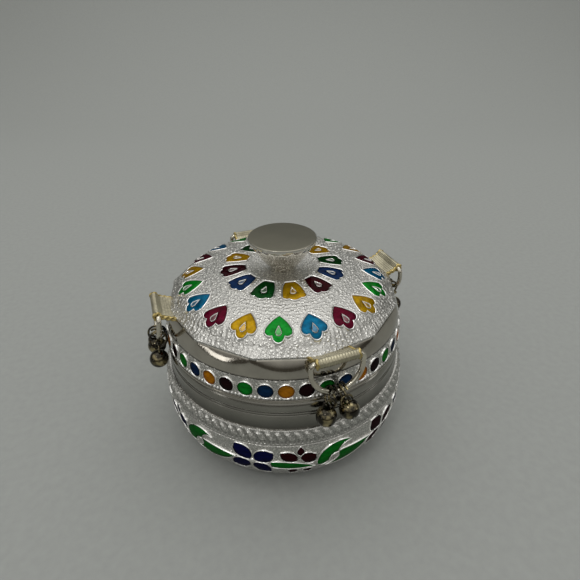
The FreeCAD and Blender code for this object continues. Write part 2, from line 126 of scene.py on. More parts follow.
# Lid shell, heights above the seam
LID_WALL = 0.8
RIM_BEAD = 0.65
RIM_BEAD_RADIUS = 37.7
RIM_BEAD_BULGE = 0.4
RIM_SEAT_RADIUS = 36.7
BAND_LOW_RADIUS = 37.5
BAND_HIGH_RADIUS = 36.6
BAND_HIGH_RISE = 7.7
STRIP_THICKNESS = 0.4
FACETS = 13
FACET_AZIMUTH = -122.1
FACET_FOOT_RADIUS = 36.97
FACET_FOOT_LIFT = 0.02
FACET_TOP_RADIUS = 35.9
FACET_TOP_RISE = 12.7
FACET_BULGE = 0.3
FACET_WALLS = 1.5
SHOULDER = (33.2, 14.3)
DOME_EDGE = (28.5, 17.3)
FLARE = (10.6, 20.3)
STALK_RADIUS = 5.1
STALK_RISE = 19.3
SHOULDER_BULGE = 0.45
DOME_BULGE = 0.35
FLARE_DIP = 0.1
KNOB_HOLE = 1.7

# Dark lines of the body and the lid: painted shade in the seam, in the corners of the lid's band and under
# the vine sheet's edge, and painted shade with tarnish in the lip's grooves. Height above the seam, width
# and share of dark
BODY_SHADE_AND_GRIME = ((0.0, 0.3, 1.0), (LIP_LINES[4][1], 0.16, 0.8), (LIP_LINES[1][1], 0.16, 0.8),
              (VINE_HIGH - SEAM, 0.3, 0.7))
LID_SHADE_AND_GRIME = ((2 * RIM_BEAD, 0.25, 1.0), (BAND_HIGH_RISE, 0.12, 0.7), (0.0, 0.2, 1.0))

# Knob, its foot lower on the dome than the solids' one, as in the photograph
KNOB_FOOT = SEAM + STALK_RISE + DOME_SHEET
KNOB_LOWERED = cad_box("knob")[0][2] - KNOB_FOOT
KNOB_NECK = 3.5
KNOB_DISC = 1.3
KNOB_EDGE = 0.5
KNOB_CONE_BOW = -0.45
SCREW_HOLE = 1.5
SCREW_HOLE_DEPTH = 5.5
SCREW_PLAY = 0.1

# Rings of motifs on the dome: count, azimuth of the first, radius, length, width and shift of the drop
MOTIF_RINGS = {
    "outer": (20, -111.96, 28.65, 7.85, 7.4, 0.9),
    "inner": (12, -129.22, 15.4, 8.2, 6.7, 0.0),
}
# Half their outlines from tip to end, as shares of half the width and of the length
MOTIF_SHARES = {
    "outer": ((0, -0.5), (0.64, -0.2), (0.97, 0.06), (0.88, 0.27), (0.46, 0.3), (0, 0.5)),
    "inner": ((0.46, -0.5), (0.82, -0.18), (1, 0.2), (0.9, 0.38), (0.5, 0.4), (0, 0.5)),
}
# Their glazes in turn, each with its colour in the settings
MOTIF_GLAZES = {
    "outer": {"green": "green", "blue": "blue", "crimson": "crimson", "yellow": "yellow"},
    "inner": {"green": "deep_green", "yellow": "yellow", "crimson": "garnet", "blue": "deep_blue"},
}
TEAR_LENGTH = 2.7
TEAR_WIDTH = 1.6
TEAR_ROUND_SHARE = 0.2
DROP_DOME_SHARE = 0.5

# Dots of the strip, and their glazes in turn
DOTS = 44
DOT_AZIMUTH = -166.09
DOT_RADIUS = 2.2
DOT_RISE = 4.3
DOT_DOME_SHARE = 1.4
DOT_GLAZES = {"maroon": "maroon", "green": "green", "blue": "deep_blue", "orange": "orange"}
BEAD_SUNK_SHARE = 0.15

# Vine of the belly: petals by angle, start, end and half width; leaves and stem by the points that their
# arcs join, every second one being passed on the way, and the number of the point at their far end
VINE_UNITS = 6
VINE_AZIMUTH = -83.2
VINE_HEIGHT = 14.0
VINE_GLAZES = {"green": "leaf", "blue": "navy", "maroon": "garnet"}
FLOWER_ANGLE = 20.2
STEM_ANGLE = 36.4
PETAL_BLUNT = 0.5
PETAL_MIDDLE_SHARE = 0.42
PETAL_END_SHARE = 0.3
OPEN_PETALS = ((35, 0.9, 7.5, 2.7), (130, 0.9, 7.9, 2.7), (213, 0.9, 7.4, 2.6), (312, 0.9, 7.6, 2.5))
CROSSED_PETALS = ((32, 0.9, 5.3, 2.7), (90, 2.9, 6.5, 1.1), (143, 1.2, 7.2, 2.1), (247, 4.0, 7.2, 1.6),
                  (292, 4.4, 7.4, 1.5))
HEAD_LEAF = (((-8.9, -3.1), (-9.2, 0), (-7.7, 3.3), (-4.3, 5.3), (1.6, 4.1),
              (-1.8, 2.9), (-2.8, 0.7), (-4.9, -0.2), (-5.4, -2.5), (-7.2, -3.7)), 4)
TAIL_LEAF = (((-6.4, -4.6), (-3.6, -3.2), (-2.4, -0.6), (-2.7, 0.6), (-1.6, 1.4),
              (3.6, 1.0), (9.2, 0.4), (3.0, -4.2)), 6)
STEM = (((-6.1, 0.4), (-0.7, 0.3), (7.0, -3.2), (-0.7, -3.3), (-5.9, -2.6), (-6.15, -1.1)), 2)
FLOWER_HEART = 1.0
HEART_RIMS = 2
FINE_RIM_SHARE = 0.65

# Chasing in general: a zone runs from one value to another and fades over a width, a grain has its
# wavelength and the seed of its draw, and a share is of the height of the ridges in the settings
WAVE_STRETCH = (0.75, 1.35)

# Chasing of the vine sheet, by depth below its upper edge; the foot line is by height above its lower one
GADROONS = 92
GADROON_SLANT = 1.5
GADROON_ZONE = (0.7, 3.0, 0.7)
TICKS = 216
TICK_ZONE = (3.2, 4.2, 0.4)
BORDER_LINES = (0.35, 4.45, 5.15)
BORDER_LINE_WIDTH = 0.2
BORDER_LINE_SHARE = 1.6
BORDER_ZONE = (0.2, 5.4, 0.5)
# Share of light lost in the border's hollows: painted shade
BORDER_HOLLOW_SHADE = 0.5
FOOT_LINE = 0.8
FOOT_LINE_WIDTH = 0.3
VINE_GRAIN = (1.3, 11)

# Chasing of the dome, by distance from its axis; the ribs' second zone is by distance from their middle
DOME_GRAIN = (1.0, 5)
DOME_GRAIN_ZONE = (5.6, 34.6, 1.0)
TURNED_PITCH = 0.8
TURNED_SHARE = 0.2
TURNED_ZONE = (5.6, 11.5, 0.8)
RIB_ZONE = (12.2, 18.4, 0.6)
RIB_SIDE_ZONE = (-1, 0.6, 0.3)
ZIGZAGS = 66
ZIGZAG_REACH = 1.1
ZIGZAG_PITCH = 1.25
ZIGZAG_SHARE = 0.45
ZIGZAG_ZONE = (20.2, 24.6, 0.9)
FLUTES = 150
FLUTE_SHARE = 0.9
FLUTE_ZONE = (30.6, 35.0, 2.0)
FLUTE_WANDER = 2.2
FLUTE_WANDER_GRAIN = (5.0, 8)
FLUTE_MEAN = 0.75
FLUTE_SWING = 0.35
FLUTE_SWING_GRAIN = (9.0, 3)

# Chasing of the dotted strip, heights above the seam
STRIP_LINES = (STRIP_LOW + 0.3, STRIP_HIGH - 0.35)
STRIP_LINE_WIDTH = 0.22
STRIP_GRAIN = (1.1, 21)

# Hangers: their azimuths and the sizes that all four share; lean and splay in degrees
HANGERS = {"front": -90.0, "right": 0.0, "back": 90.0, "left": 180.0}
RING_LEAN = 8.0
RING_WIRE = 1.4
RING_BOW = 7.2
RING_CORNER = 1.4
RING_SIDE = 2.4
SPLIT_WIRE = 0.65
SPLIT_PITCH = 1.07
SPLIT_RADIUS = 2.475
SPLIT_TURNS = 2
SPLIT_CROSS_SHARES = (0.44, 0.56)
SPLIT_END_SHARES = (0.065, 0.935)
SPLIT_OFFSET = 1.5
SPLIT_DROP = 1.3
SPLAY = 14.0

# Straps: half the opening between the two layers, half a layer's thickness, and the angle, in radians,
# that is left free at each end of the loop round the bar
STRAP_HALF = 5.7
STRAP_RADIUS = 1.12
STRAP_ROOT = (34.0, 12.3)
STRAP_GAP = 0.24
STRAP_SHEET = 0.17
STRAP_FREE_ANGLE = 0.35
WEAVE_HEIGHT = 0.11
WEAVE_SWELL = 0.25
CORD_RADIUS = 0.42
CORD_SWELL = 0.3
CORD_PITCH = 1.5

# Camera of the photograph, in millimetres
CAMERA_PLACE = (-36.87, -104.11, 115.96)
CAMERA_AIM = (2.14, -0.76, 46.2)
CAMERA_ROLL = -0.19
CAMERA_LENS = 24.95
CAMERA_SENSOR = 36.0

# Floor and lamps, in millimetres
FLOOR_REACH = 2500.0
SWEEP_START = 500.0
SWEEP_RADIUS = 700.0
SOFTBOX_PLACE = (150.0, 350.0, 850.0)
SOFTBOX_SIZE = 1200.0
SPARK_PLACE = (-350.0, -250.0, 700.0)
SPARK_SIZE = 90.0
WINDOW_PLACES = ((-550.0, -165.0, 90.0), (466.0, -291.0, 90.0))
WINDOW_SIZE = 80.0

# Fineness of the grids, in points along an arc, a row or a column, or in points that are passed over
QUARTER_POINTS = 24
BELLY_POINTS = 12
LIP_POINTS = 16
BODY_COLUMNS = 320
COLLAR_COLUMNS = 256
WALL_POINTS = 400
VINE_ROWS = 92
VINE_COLUMNS = 960
VINE_BACK_STEP = 31
VINE_ARC_POINTS = 15
VINE_SIDE_POINTS = 25
HEART_GRID = (7, 20)
BEAD_GRID = (5, 10)
RIM_COLUMNS = 8
GLAZE_ROWS = 10
MOTIF_ARC_POINTS = 9
MOTIF_TIP_POINTS = 4
TEAR_SIDE_POINTS = 12
TEAR_ROUND_POINTS = 33
RIM_BEAD_POINTS = 12
FACET_ROWS = 14
FACET_COLUMNS = 56
CORNER_SPREAD = 2
SHELL_SKIRT_ROWS = 4
SHEET_SKIRT_ROWS = 16
DOME_ARC_POINTS = (24, 60, 24)
DOME_ROWS = 108
SHELL_DOME_STEP = 6
SHEET_BACK_STEP = 24
STRIP_ROWS = 34
STRIP_COLUMNS = 880
DOT_POINTS = 28
CONE_POINTS = 24
DISC_EDGE_POINTS = 9
KNOB_COLUMNS = 192
WASHER_COLUMNS = 64
SCREW_CROWN_POINTS = 10
SCREW_COLUMNS = 48
RING_BAR_POINTS = 12
RING_CORNER_POINTS = 8
RING_SIDE_POINTS = 3
RING_BOW_POINTS = 28
RING_COLUMNS = 20
SPLIT_POINTS = 120
SPLIT_COLUMNS = 12
STRAP_LAYER_POINTS = 16
STRAP_LOOP_POINTS = 26
STRAP_ROWS = 90
STRAP_COLUMNS = 112
CORD_COLUMNS = 14

# Limits: an arc flatter than a share of its chord is straight, a softened corner takes at most a share of
# each side, points closer than the reach are merged, the step grain keeps whole steps whole, and edges past
# the crisp angle, in degrees, stay crisp
FLAT_SHARE = 0.001
SOFT_SHARE = 0.45
MERGE_REACH = 0.001 * MM
STEP_GRAIN = 1e-9
CRISP_ANGLE = 40.0
FACET_CRISP_ANGLE = 30.0


# Settings that a user would change
def length(name, description, default):
    """A length, its default given in millimetres."""
    return FloatProperty(name=name, description=description, default=default * MM, min=0, unit="LENGTH",
                         precision=5)


def colour(name, description, default):
    """A colour."""
    return FloatVectorProperty(name=name, description=description, default=default, size=3, min=0, max=1,
                               subtype="COLOR")


def power(name, description, default):
    """The power of a lamp."""
    return FloatProperty(name=name, description=description, default=default, min=0, unit="POWER")


class EnamelBoxSizes(bpy.types.PropertyGroup):
    """Heights and widths of the chased work"""

    stipple: length("Stipple", "Height of the random chasing on the thin sheets", 0.018)
    ridge: length("Ridges", "Height of the chased ridges and flutes", 0.13)
    gadroon: length("Gadroons", "Height of the slanted leaves under the plain band", 0.7)
    rim_width: length("Rim width", "Half width of the raised silver outlines", 0.25)
    rim_height: length("Rim height", "Height of the raised silver outlines", 0.42)
    glaze_dome: length("Glaze dome", "Rise of the enamel in the middle of its cell", 0.2)
    glaze_lift: length("Glaze lift", "Height of the enamel at the edge of its cell", 0.12)
    bead: length("Milgrain bead", "Radius of the beads along the strip", 0.46)
    thread: length("Strap thread", "Spacing of the strap's ribs", 0.76)
    beads: IntProperty(name="Beads", description="Number of beads along the strip", default=220, min=44)


class EnamelBoxColours(bpy.types.PropertyGroup):
    """Colours of metals and enamels"""

    silver: colour("Silver sheet", "Bright engraved sheet", (0.8, 0.785, 0.74))
    rim: colour("Raised silver", "Raised outlines, beads and drops", (0.9, 0.89, 0.86))
    polished: colour("Polished metal", "Facets and rim of the lid", (0.46, 0.43, 0.37))
    satin: colour("Satin metal", "Plain band", (0.31, 0.3, 0.265))
    # Knob top: the cone's metal, painted darker as painted shade
    knob: colour("Knob top", "Satin top of the knob", (0.2, 0.19, 0.145))
    cone: colour("Knob cone", "Polished cone of the knob", (0.78, 0.75, 0.68))
    brass: colour("Antique brass", "Worn parts of bells and split rings", (0.5, 0.42, 0.23))
    patina: colour("Patina", "Dark parts of bells and split rings", (0.04, 0.036, 0.028))
    wire: colour("Ring wire", "Wire rings", (0.64, 0.6, 0.5))
    gilt: colour("Gilt thread", "Edges of the straps", (0.6, 0.47, 0.19))
    thread: colour("Silver thread", "Ground of the straps", (0.5, 0.46, 0.33))
    green: colour("Green", "Green enamel of the outer ring and the dots", (0.006, 0.27, 0.024))
    leaf: colour("Leaf green", "Green enamel of the vine", (0.004, 0.24, 0.026))
    deep_green: colour("Deep green", "Green enamel of the inner ring", (0.003, 0.062, 0.009))
    blue: colour("Blue", "Blue enamel of the outer ring", (0.003, 0.14, 0.27))
    deep_blue: colour("Deep blue", "Blue enamel of the inner ring and the dots", (0.004, 0.034, 0.105))
    navy: colour("Navy", "Blue enamel of the vine", (0.005, 0.008, 0.085))
    crimson: colour("Crimson", "Red enamel of the outer ring", (0.105, 0.001, 0.016))
    garnet: colour("Garnet", "Red enamel of the inner ring and the vine", (0.042, 0.0012, 0.006))
    maroon: colour("Maroon", "Red enamel of the dots", (0.016, 0.001, 0.003))
    yellow: colour("Yellow", "Yellow enamel", (0.46, 0.265, 0.005))
    orange: colour("Orange", "Amber enamel of the dots", (0.62, 0.23, 0.01))


class EnamelBoxStage(bpy.types.PropertyGroup):
    """Floor and light"""

    floor: colour("Floor", "Plain pale floor", (0.345, 0.355, 0.34))
    sky: colour("Sky", "Light from above", (0.75, 0.75, 0.73))
    horizon: colour("Horizon", "Light from the sides", (0.07, 0.065, 0.055))
    key: power("Key", "Power of the softbox overhead", 3.9)
    spark: power("Spark", "Power of the small lamp", 0.35)
    window: power("Window", "Power of each lamp beside the box", 0.045)


def setting(name):
    """One of the lengths in the settings, in millimetres."""
    return getattr(bpy.context.scene.enamel_box_sizes, name) / MM


# Surfaces: arrays of points in millimetres, put into meshes as quads between neighbours
def surface(name, grid, wrap_rows=False, wrap_columns=True, dark=None, sharp=CRISP_ANGLE):
    """Mesh of one grid of points or a batch of them; a wrapped direction joins its last line to its first.

    Rows that meet in a point or a seam are merged, the faces are turned outwards, and edges past the sharp
    angle stay crisp. Dark is a share from 0 to 1 by which the finish loses light at each point."""
    grid = np.asarray(grid, float)
    grid = grid.reshape((-1,) + grid.shape[-3:])
    index = np.arange(grid[..., 0].size).reshape(grid.shape[:3])
    if wrap_rows:
        index = np.concatenate([index, index[:, :1]], axis=1)
    if wrap_columns:
        index = np.concatenate([index, index[:, :, :1]], axis=2)
    corners = (index[:, :-1, :-1], index[:, :-1, 1:], index[:, 1:, 1:], index[:, 1:, :-1])
    quads = np.stack(corners, axis=-1).reshape(-1, 4)
    mesh = bpy.data.meshes.new(name)
    mesh.vertices.add(grid[..., 0].size)
    mesh.vertices.foreach_set("co", (grid * MM).ravel())
    mesh.loops.add(quads.size)
    mesh.loops.foreach_set("vertex_index", quads.ravel())
    mesh.polygons.add(len(quads))
    mesh.polygons.foreach_set("loop_start", np.arange(0, quads.size, 4))
    mesh.update(calc_edges=True)
    if dark is not None:
        values = np.broadcast_to(dark, grid.shape[:3]).astype(np.float32)
        mesh.attributes.new("dark", "FLOAT", "POINT").data.foreach_set("value", values.ravel())
    merge_and_turn(mesh)
    mesh.polygons.foreach_set("use_smooth", np.ones(len(mesh.polygons), bool))
    mesh.set_sharp_from_angle(angle=math.radians(sharp))
    piece = bpy.data.objects.new(name, mesh)
    bpy.context.scene.collection.objects.link(piece)
    return piece


def merge_and_turn(mesh):
    """Closes poles and seams and turns the faces outwards."""
    shell = bmesh.new()
    shell.from_mesh(mesh)
    bmesh.ops.remove_doubles(shell, verts=shell.verts, dist=MERGE_REACH)
    bmesh.ops.recalc_face_normals(shell, faces=shell.faces)
    shell.to_mesh(mesh)
    shell.free()


def dress(piece, body, slot, material, *nodes):
    """Gives a piece its finish and the body that it rides on, and hides the CAD nodes that it stands for."""
    piece.data.materials.append(material)
    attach(piece, body)
    if nodes:
        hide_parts(*nodes)
    return piece


def finish_node(node, material):
    """Gives a CAD node that stays in view its finish."""
    for slot in frame["nodes"][node].material_slots:
        slot.material = material


def stacked(*axes):
    """Points from coordinates that are spread over one another."""
    return np.stack(np.broadcast_arrays(*axes), axis=-1)


def once_round(count):
    """Angles of count points, evenly once round."""
    return np.linspace(0, FULL_TURN, count, endpoint=False)


def spaced(first, count):
    """Azimuths of count like places, evenly once round from the first, in degrees."""
    return first + np.arange(count) * 360 / count


def rotated(points, axis, degrees):
    """Points turned about an axis through the origin."""
    return points @ np.array(Matrix.Rotation(math.radians(degrees), 3, axis)).T


def bowed(start, end, bow, count):
    """Arc from start to end that swells by bow to the left of its chord: a circle in (chord, left) axes."""
    start, end = np.array(start, float), np.array(end, float)
    share = np.linspace(-1, 1, count)
    chord = np.linalg.norm(end - start)
    along = (end - start) / chord
    left = np.array([-along[1], along[0]])
    if abs(bow) < FLAT_SHARE * chord:
        return start + np.outer((share + 1) / 2, end - start)
    half_angle = 2 * math.atan(2 * bow / chord)
    radius = chord / 2 / math.sin(half_angle)
    run = chord / 2 + radius * np.sin(half_angle * share)
    rise = radius * (np.cos(half_angle * share) - math.cos(half_angle))
    return start + np.outer(run, along) + np.outer(rise, left)


def arc_through(start, middle, end, count):
    """Arc from start to end by way of middle; the angle at middle gives the bow by the inscribed angle."""
    start, middle, end = (np.array(point, float) for point in (start, middle, end))
    one, two = start - middle, end - middle
    angle = math.acos(np.clip(one @ two / np.linalg.norm(one) / np.linalg.norm(two), -1, 1))
    chord = end - start
    side = np.sign(chord[0] * (middle - start)[1] - chord[1] * (middle - start)[0])
    bow = side * np.linalg.norm(chord) / 2 * math.tan((math.pi - angle) / 2)
    return bowed(start, end, bow, count)


def quarter_bow(foot, reach, low, rise):
    """Quarter of an ellipse: radius = foot + reach sin a, height = low + rise (1 - cos a)."""
    angle = np.linspace(0, QUARTER_TURN, QUARTER_POINTS)
    return stacked(foot + reach * np.sin(angle), low + rise * (1 - np.cos(angle)))


def softened(corners, radius, steps=5):
    """Straight runs whose inner corners give way to quadratic curves of about that radius."""
    corners = np.array(corners, float)
    share = np.linspace(0, 1, steps)[:, None]
    run = [corners[:1]]
    for before, corner, after in zip(corners, corners[1:], corners[2:]):
        back, on = before - corner, after - corner
        start = corner + back * min(radius / np.linalg.norm(back), SOFT_SHARE)
        end = corner + on * min(radius / np.linalg.norm(on), SOFT_SHARE)
        run.append((1 - share) ** 2 * start + 2 * share * (1 - share) * corner + share ** 2 * end)
    return np.concatenate(run + [corners[-1:]])


def even(profile, count):
    """Points spaced evenly along a profile."""
    reach = np.concatenate([[0], np.cumsum(np.linalg.norm(np.diff(profile, axis=0), axis=1))])
    steps = np.linspace(0, reach[-1], count)
    return stacked(*(np.interp(steps, reach, axis) for axis in profile.T))


def turned(profile, columns):
    """Surface of revolution: P(row, column) = (r cos a, r sin a, z), with a once round."""
    angle = once_round(columns)
    radius, height = profile[:, :1], profile[:, 1:]
    return stacked(radius * np.cos(angle), radius * np.sin(angle), height)


def chased(grid, relief):
    """Moves a grid of points by relief along its normals, the cross products of its column and row steps."""
    rows = np.gradient(grid, axis=0)
    columns = np.roll(grid, -1, axis=1) - np.roll(grid, 1, axis=1)
    normal = np.cross(columns, rows)
    normal /= np.linalg.norm(normal, axis=-1, keepdims=True)
    return grid + normal * relief[..., None]


def random_field(points, wavelength, seed, waves=28):
    """Smooth random heights from -1 to 1 or so: a sum of plane waves in seeded directions."""
    draw = np.random.default_rng(seed)
    direction = draw.normal(size=(waves, 3))
    direction /= np.linalg.norm(direction, axis=1, keepdims=True)
    stretch = draw.uniform(*WAVE_STRETCH, waves)
    phase = draw.uniform(0, FULL_TURN, waves)
    total = np.zeros(points.shape[:-1])
    for number in range(waves):
        along = points @ direction[number] * FULL_TURN / wavelength
        total += np.cos(along * stretch[number] + phase[number])
    return total / math.sqrt(waves)


def zone(value, low, high, soft):
    """One between low and high, falling to nothing over soft on both sides, as 3 t^2 - 2 t^3."""
    rise = np.clip((value - low) / soft + 0.5, 0, 1)
    fall = np.clip((high - value) / soft + 0.5, 0, 1)
    return rise * rise * (3 - 2 * rise) * fall * fall * (3 - 2 * fall)


def ridge_line(value, centre, width):
    """A ridge along a line: exp(-((value - centre) / width)^2)."""
    return np.exp(-((value - centre) / width) ** 2)


def shade_and_grime(rise, lines):
    """Dark shares by height above the seam, painted shade with some tarnish: a sum of ridges along the
    lines, at most one.
    """
    return np.clip(sum(share * ridge_line(rise, line, width) for line, width, share in lines), 0, 1)


# Places: from flat coordinates and a lift to points on the object
def dome_profile(inset=0.0):
    """Profile of the dome from shoulder to stalk: three arcs, lowered by inset, both ends drawn in by it."""
    shoulder = (SHOULDER[0] - inset, SHOULDER[1] - inset)
    edge = (DOME_EDGE[0], DOME_EDGE[1] - inset)
    flare = (FLARE[0], FLARE[1] - inset)
    stalk = (STALK_RADIUS - inset, STALK_RISE - inset)
    outer, middle, inner = DOME_ARC_POINTS
    arcs = (bowed(shoulder, edge, -SHOULDER_BULGE, outer), bowed(edge, flare, -DOME_BULGE, middle)[1:],
            bowed(flare, stalk, FLARE_DIP, inner)[1:])
    return np.concatenate(arcs) + (0, SEAM)


DOME = dome_profile()


def on_dome(azimuth, along, across, lift):
    """A point of the dome's sheet: along outwards from the axis and across it, turned to the azimuth."""
    turn = np.radians(azimuth)
    radius = np.hypot(along, across)
    height = np.interp(radius, DOME[::-1, 0], DOME[::-1, 1]) + DOME_SHEET + lift
    x = along * np.cos(turn) - across * np.sin(turn)
    y = along * np.sin(turn) + across * np.cos(turn)
    return stacked(x, y, height)


def belly_radius(height):
    """Radius of the box's wall: an elliptic quarter below the widest height and a shallow bow above it."""
    drop = np.clip((BELLY_HEIGHT - height) / BELLY_HEIGHT, 0, 1)
    below = BASE_RADIUS + (BELLY_RADIUS - BASE_RADIUS) * np.sqrt(1 - drop * drop)
    share = np.clip((height - BELLY_HEIGHT) / (VINE_HIGH - BELLY_HEIGHT), 0, 1)
    above = BELLY_RADIUS + (BAND_FOOT_RADIUS - BELLY_RADIUS) * share + 4 * BELLY_SAG * share * (1 - share)
    return np.where(height < BELLY_HEIGHT, below, above)


def on_belly(azimuth, across, up, lift):
    """A point of the vine sheet: drawn across and up on the tangent plane, and carried back to the wall."""
    turn = np.radians(azimuth)
    height = VINE_HEIGHT + up
    depth = np.sqrt((belly_radius(height) + VINE_SHEET + lift) ** 2 - across ** 2)
    x = depth * np.cos(turn) - across * np.sin(turn)
    y = depth * np.sin(turn) + across * np.cos(turn)
    return stacked(x, y, height)


def band_radius(rise):
    """Radius of the lid's band, a shallow cone, under the dotted strip."""
    share = (rise - 2 * RIM_BEAD) / (BAND_HIGH_RISE - 2 * RIM_BEAD)
    return BAND_LOW_RADIUS + (BAND_HIGH_RADIUS - BAND_LOW_RADIUS) * share


def on_band(azimuth, across, up, lift):
    """A point of the dotted strip: across along its arc, up from the middle of the dots."""
    rise = DOT_RISE + up
    radius = band_radius(rise) + STRIP_THICKNESS + lift
    turn = np.radians(azimuth) + across / radius
    return stacked(radius * np.cos(turn), radius * np.sin(turn), SEAM + rise)


def half_balls(place, azimuths, up, radius, height, sunk, fineness):
    """Half balls on a surface: r sin f cos a across, r sin f sin a above up, and height cos f - sunk out."""
    rows, columns = fineness
    angle = once_round(columns)
    fall = np.linspace(0, QUARTER_TURN, rows)[:, None]
    across = radius * np.sin(fall) * np.cos(angle)
    rise = up + radius * np.sin(fall) * np.sin(angle)
    return place(azimuths[:, None, None], across, rise, height * np.cos(fall) - sunk)


# Enamel cells: a closed outline, a core inside it, and a place that carries both to the surface
def rim_tube(place, azimuth, outline, half_width, height):
    """A rounded ridge along an outline: an ellipse of half_width and height carried along the path."""
    angle = once_round(RIM_COLUMNS)
    tangent = np.roll(outline, -1, axis=-2) - np.roll(outline, 1, axis=-2)
    tangent = tangent / np.linalg.norm(tangent, axis=-1, keepdims=True)
    first = outline[..., None, 0] + tangent[..., None, 1] * half_width * np.cos(angle)
    second = outline[..., None, 1] - tangent[..., None, 0] * half_width * np.cos(angle)
    return place(np.asarray(azimuth)[..., None, None], first, second, height * np.sin(angle))


def glaze_pad(place, azimuth, outline, core, dome, closed_core):
    """Enamel from a core out to its outline: P = core + t (outline - core), with a flat underside.

    It is domed as 1 - (2t - 1)^4 round an open core or 1 - t^4 over a closed one. Returns the points and the
    share t of each."""
    lift = setting("glaze_lift")
    share = np.linspace(0, 1, GLAZE_ROWS)
    crown = 1 - share ** 4 if closed_core else 1 - (2 * share - 1) ** 4
    share = np.concatenate([share, [1, 0]])
    level = np.concatenate([lift + dome * crown, [-lift, -lift]])
    flat = core[..., None, :, :] + share[:, None, None] * (outline - core)[..., None, :, :]
    points = place(np.asarray(azimuth)[..., None, None], flat[..., 0], flat[..., 1], level[:, None])
    return points, share[:, None]


def motif_outline(shares, radius, motif_length, width):
    """Closed outline of a dome motif in (along, across): its tip, flat if it has a width, three arcs to its
    end, and the same mirrored."""
    tip, side, hip, lobe, notch, end = (
        np.array([radius + pair[1] * motif_length, pair[0] * width / 2]) for pair in shares)
    steps = MOTIF_ARC_POINTS
    runs = [arc_through(tip, side, hip, steps)[:-1], arc_through(hip, lobe, notch, steps)[:-1],
            arc_through(notch, end, notch * (1, -1), 2 * steps - 1)[:steps]]
    if shares[0][0]:
        runs.insert(0, np.linspace(tip * (1, 0), tip, MOTIF_TIP_POINTS)[:-1])
    run = np.concatenate(runs)
    return np.concatenate([run, run[-2:0:-1] * (1, -1)])


def tear_outline(radius, towards):
    """Teardrop about the middle of a motif, with one point on the ray to each point of another outline."""
    middle = np.array([radius, 0])
    tip = middle - (TEAR_LENGTH / 2, 0)
    side = middle + (TEAR_LENGTH * TEAR_ROUND_SHARE, TEAR_WIDTH / 2)
    out = np.linspace(tip, side, TEAR_SIDE_POINTS)[:-1]
    round_end = arc_through(side, middle + (TEAR_LENGTH / 2, 0), side * (1, -1), TEAR_ROUND_POINTS)
    home = np.linspace(side * (1, -1), tip, TEAR_SIDE_POINTS)[1:-1]
    away = np.concatenate([out, round_end, home]) - middle
    aim = towards - middle
    ray = np.arctan2(aim[:, 1], aim[:, 0])
    reach = np.interp(ray, np.arctan2(away[:, 1], away[:, 0]), np.hypot(*away.T), period=FULL_TURN)
    return middle + stacked(reach * np.cos(ray), reach * np.sin(ray))


def vine_cell(spots, far):
    """Closed outline of arcs through spots, and the core halfway between its sides, from first to far."""
    spots = np.array(spots, float)
    closed = np.concatenate([spots, spots[:1]])
    starts = range(0, len(spots), 2)
    runs = [arc_through(*closed[start:start + 3], VINE_ARC_POINTS)[:-1] for start in starts]
    loop = np.concatenate(runs + [closed[-1:]])
    split = np.argmin(np.linalg.norm(loop - spots[far], axis=1))
    there, back = even(loop[:split + 1], VINE_SIDE_POINTS), even(loop[:split - 1:-1], VINE_SIDE_POINTS)
    middle = (there + back) / 2
    return np.concatenate([there, back[-2:0:-1]]), np.concatenate([middle, middle[-2:0:-1]])


def petal_cell(angle, start, end, half_width):
    """Outline and core of a broad petal with a blunt end, its axis at the angle from the level."""
    middle = start + (end - start) * PETAL_MIDDLE_SHARE
    corner, corner_width = end - PETAL_BLUNT, half_width * PETAL_END_SHARE
    spots = np.array(((start, 0), (middle, half_width), (corner, corner_width), (end, 0),
                      (corner, -corner_width), (middle, -half_width)))
    turn = math.radians(angle)
    axes = np.array([(math.cos(turn), math.sin(turn)), (-math.sin(turn), math.cos(turn))])
    return vine_cell(spots @ axes, far=3)


# Finishes: sizes and depths of lumps in millimetres
EVEN = (1, 1, 1)
UPRIGHT = (1, 1, 0.03)
LEVEL = (0.03, 0.03, 1)
# Metals: colour, roughness, size, depth and stretch of the lumps, light left in tarnish, and swing of the
# roughness
METALS = {
    "bright_rim": ("rim", 0.22, 0.5, 0.03, EVEN, 0.8, 0.25),
    "polished_metal": ("polished", 0.09, 0.4, 0.006, UPRIGHT, 0.75, 0.6),
    "satin_metal": ("satin", 0.22, 0.3, 0.006, LEVEL, 0.85, 0.25),
    "ring_wire": ("wire", 0.1, 0.6, 0.015, EVEN, 0.6, 0.25),
    "gilt_thread": ("gilt", 0.3, 0.4, 0.05, EVEN, 0.5, 0.25),
    "silver_thread": ("thread", 0.36, 0.5, 0.05, EVEN, 0.55, 0.25),
}
# Drops under glaze: the same, without the colour, which is mixed from the raised silver and the glaze
GLAZED_DROP = (0.3, 0.4, 0.04, EVEN, 0.72, 0.25)
GLAZE_ON_DROPS = 0.9
# Beaten sheets: size and depth of the punch's pebbles
BEATEN = {"engraved_silver": (0.85, 0.13), "stippled_silver": (0.55, 0.05)}
ENAMEL_GLOSS = {"navy": 0.1, "garnet": 0.1, "maroon": 0.15}
USUAL_GLOSS = 0.12
NOISE_RANGE = (0.25, 0.75)
TARNISH_PATCH = 7.0
# Share of light that metal loses on its dark lines: painted shade in the seam and corners, painted shade
# with tarnish in the grooves
METAL_SHADE_AND_GRIME = 0.85
# Share of light that beaten sheets lose where marked dark: painted shade in the vine border's hollows
SHEET_HOLLOW_SHADE = 0.75
ENAMEL_SHADE = 0.85
FINISHES = {}


def new_finish(name, metallic):
    """A new finish, its node tree and its shader."""
    material = bpy.data.materials.new(name)
    material.use_nodes = True
    tree = material.node_tree
    shader = tree.nodes["Principled BSDF"]
    shader.inputs["Metallic"].default_value = metallic
    return material, tree, shader


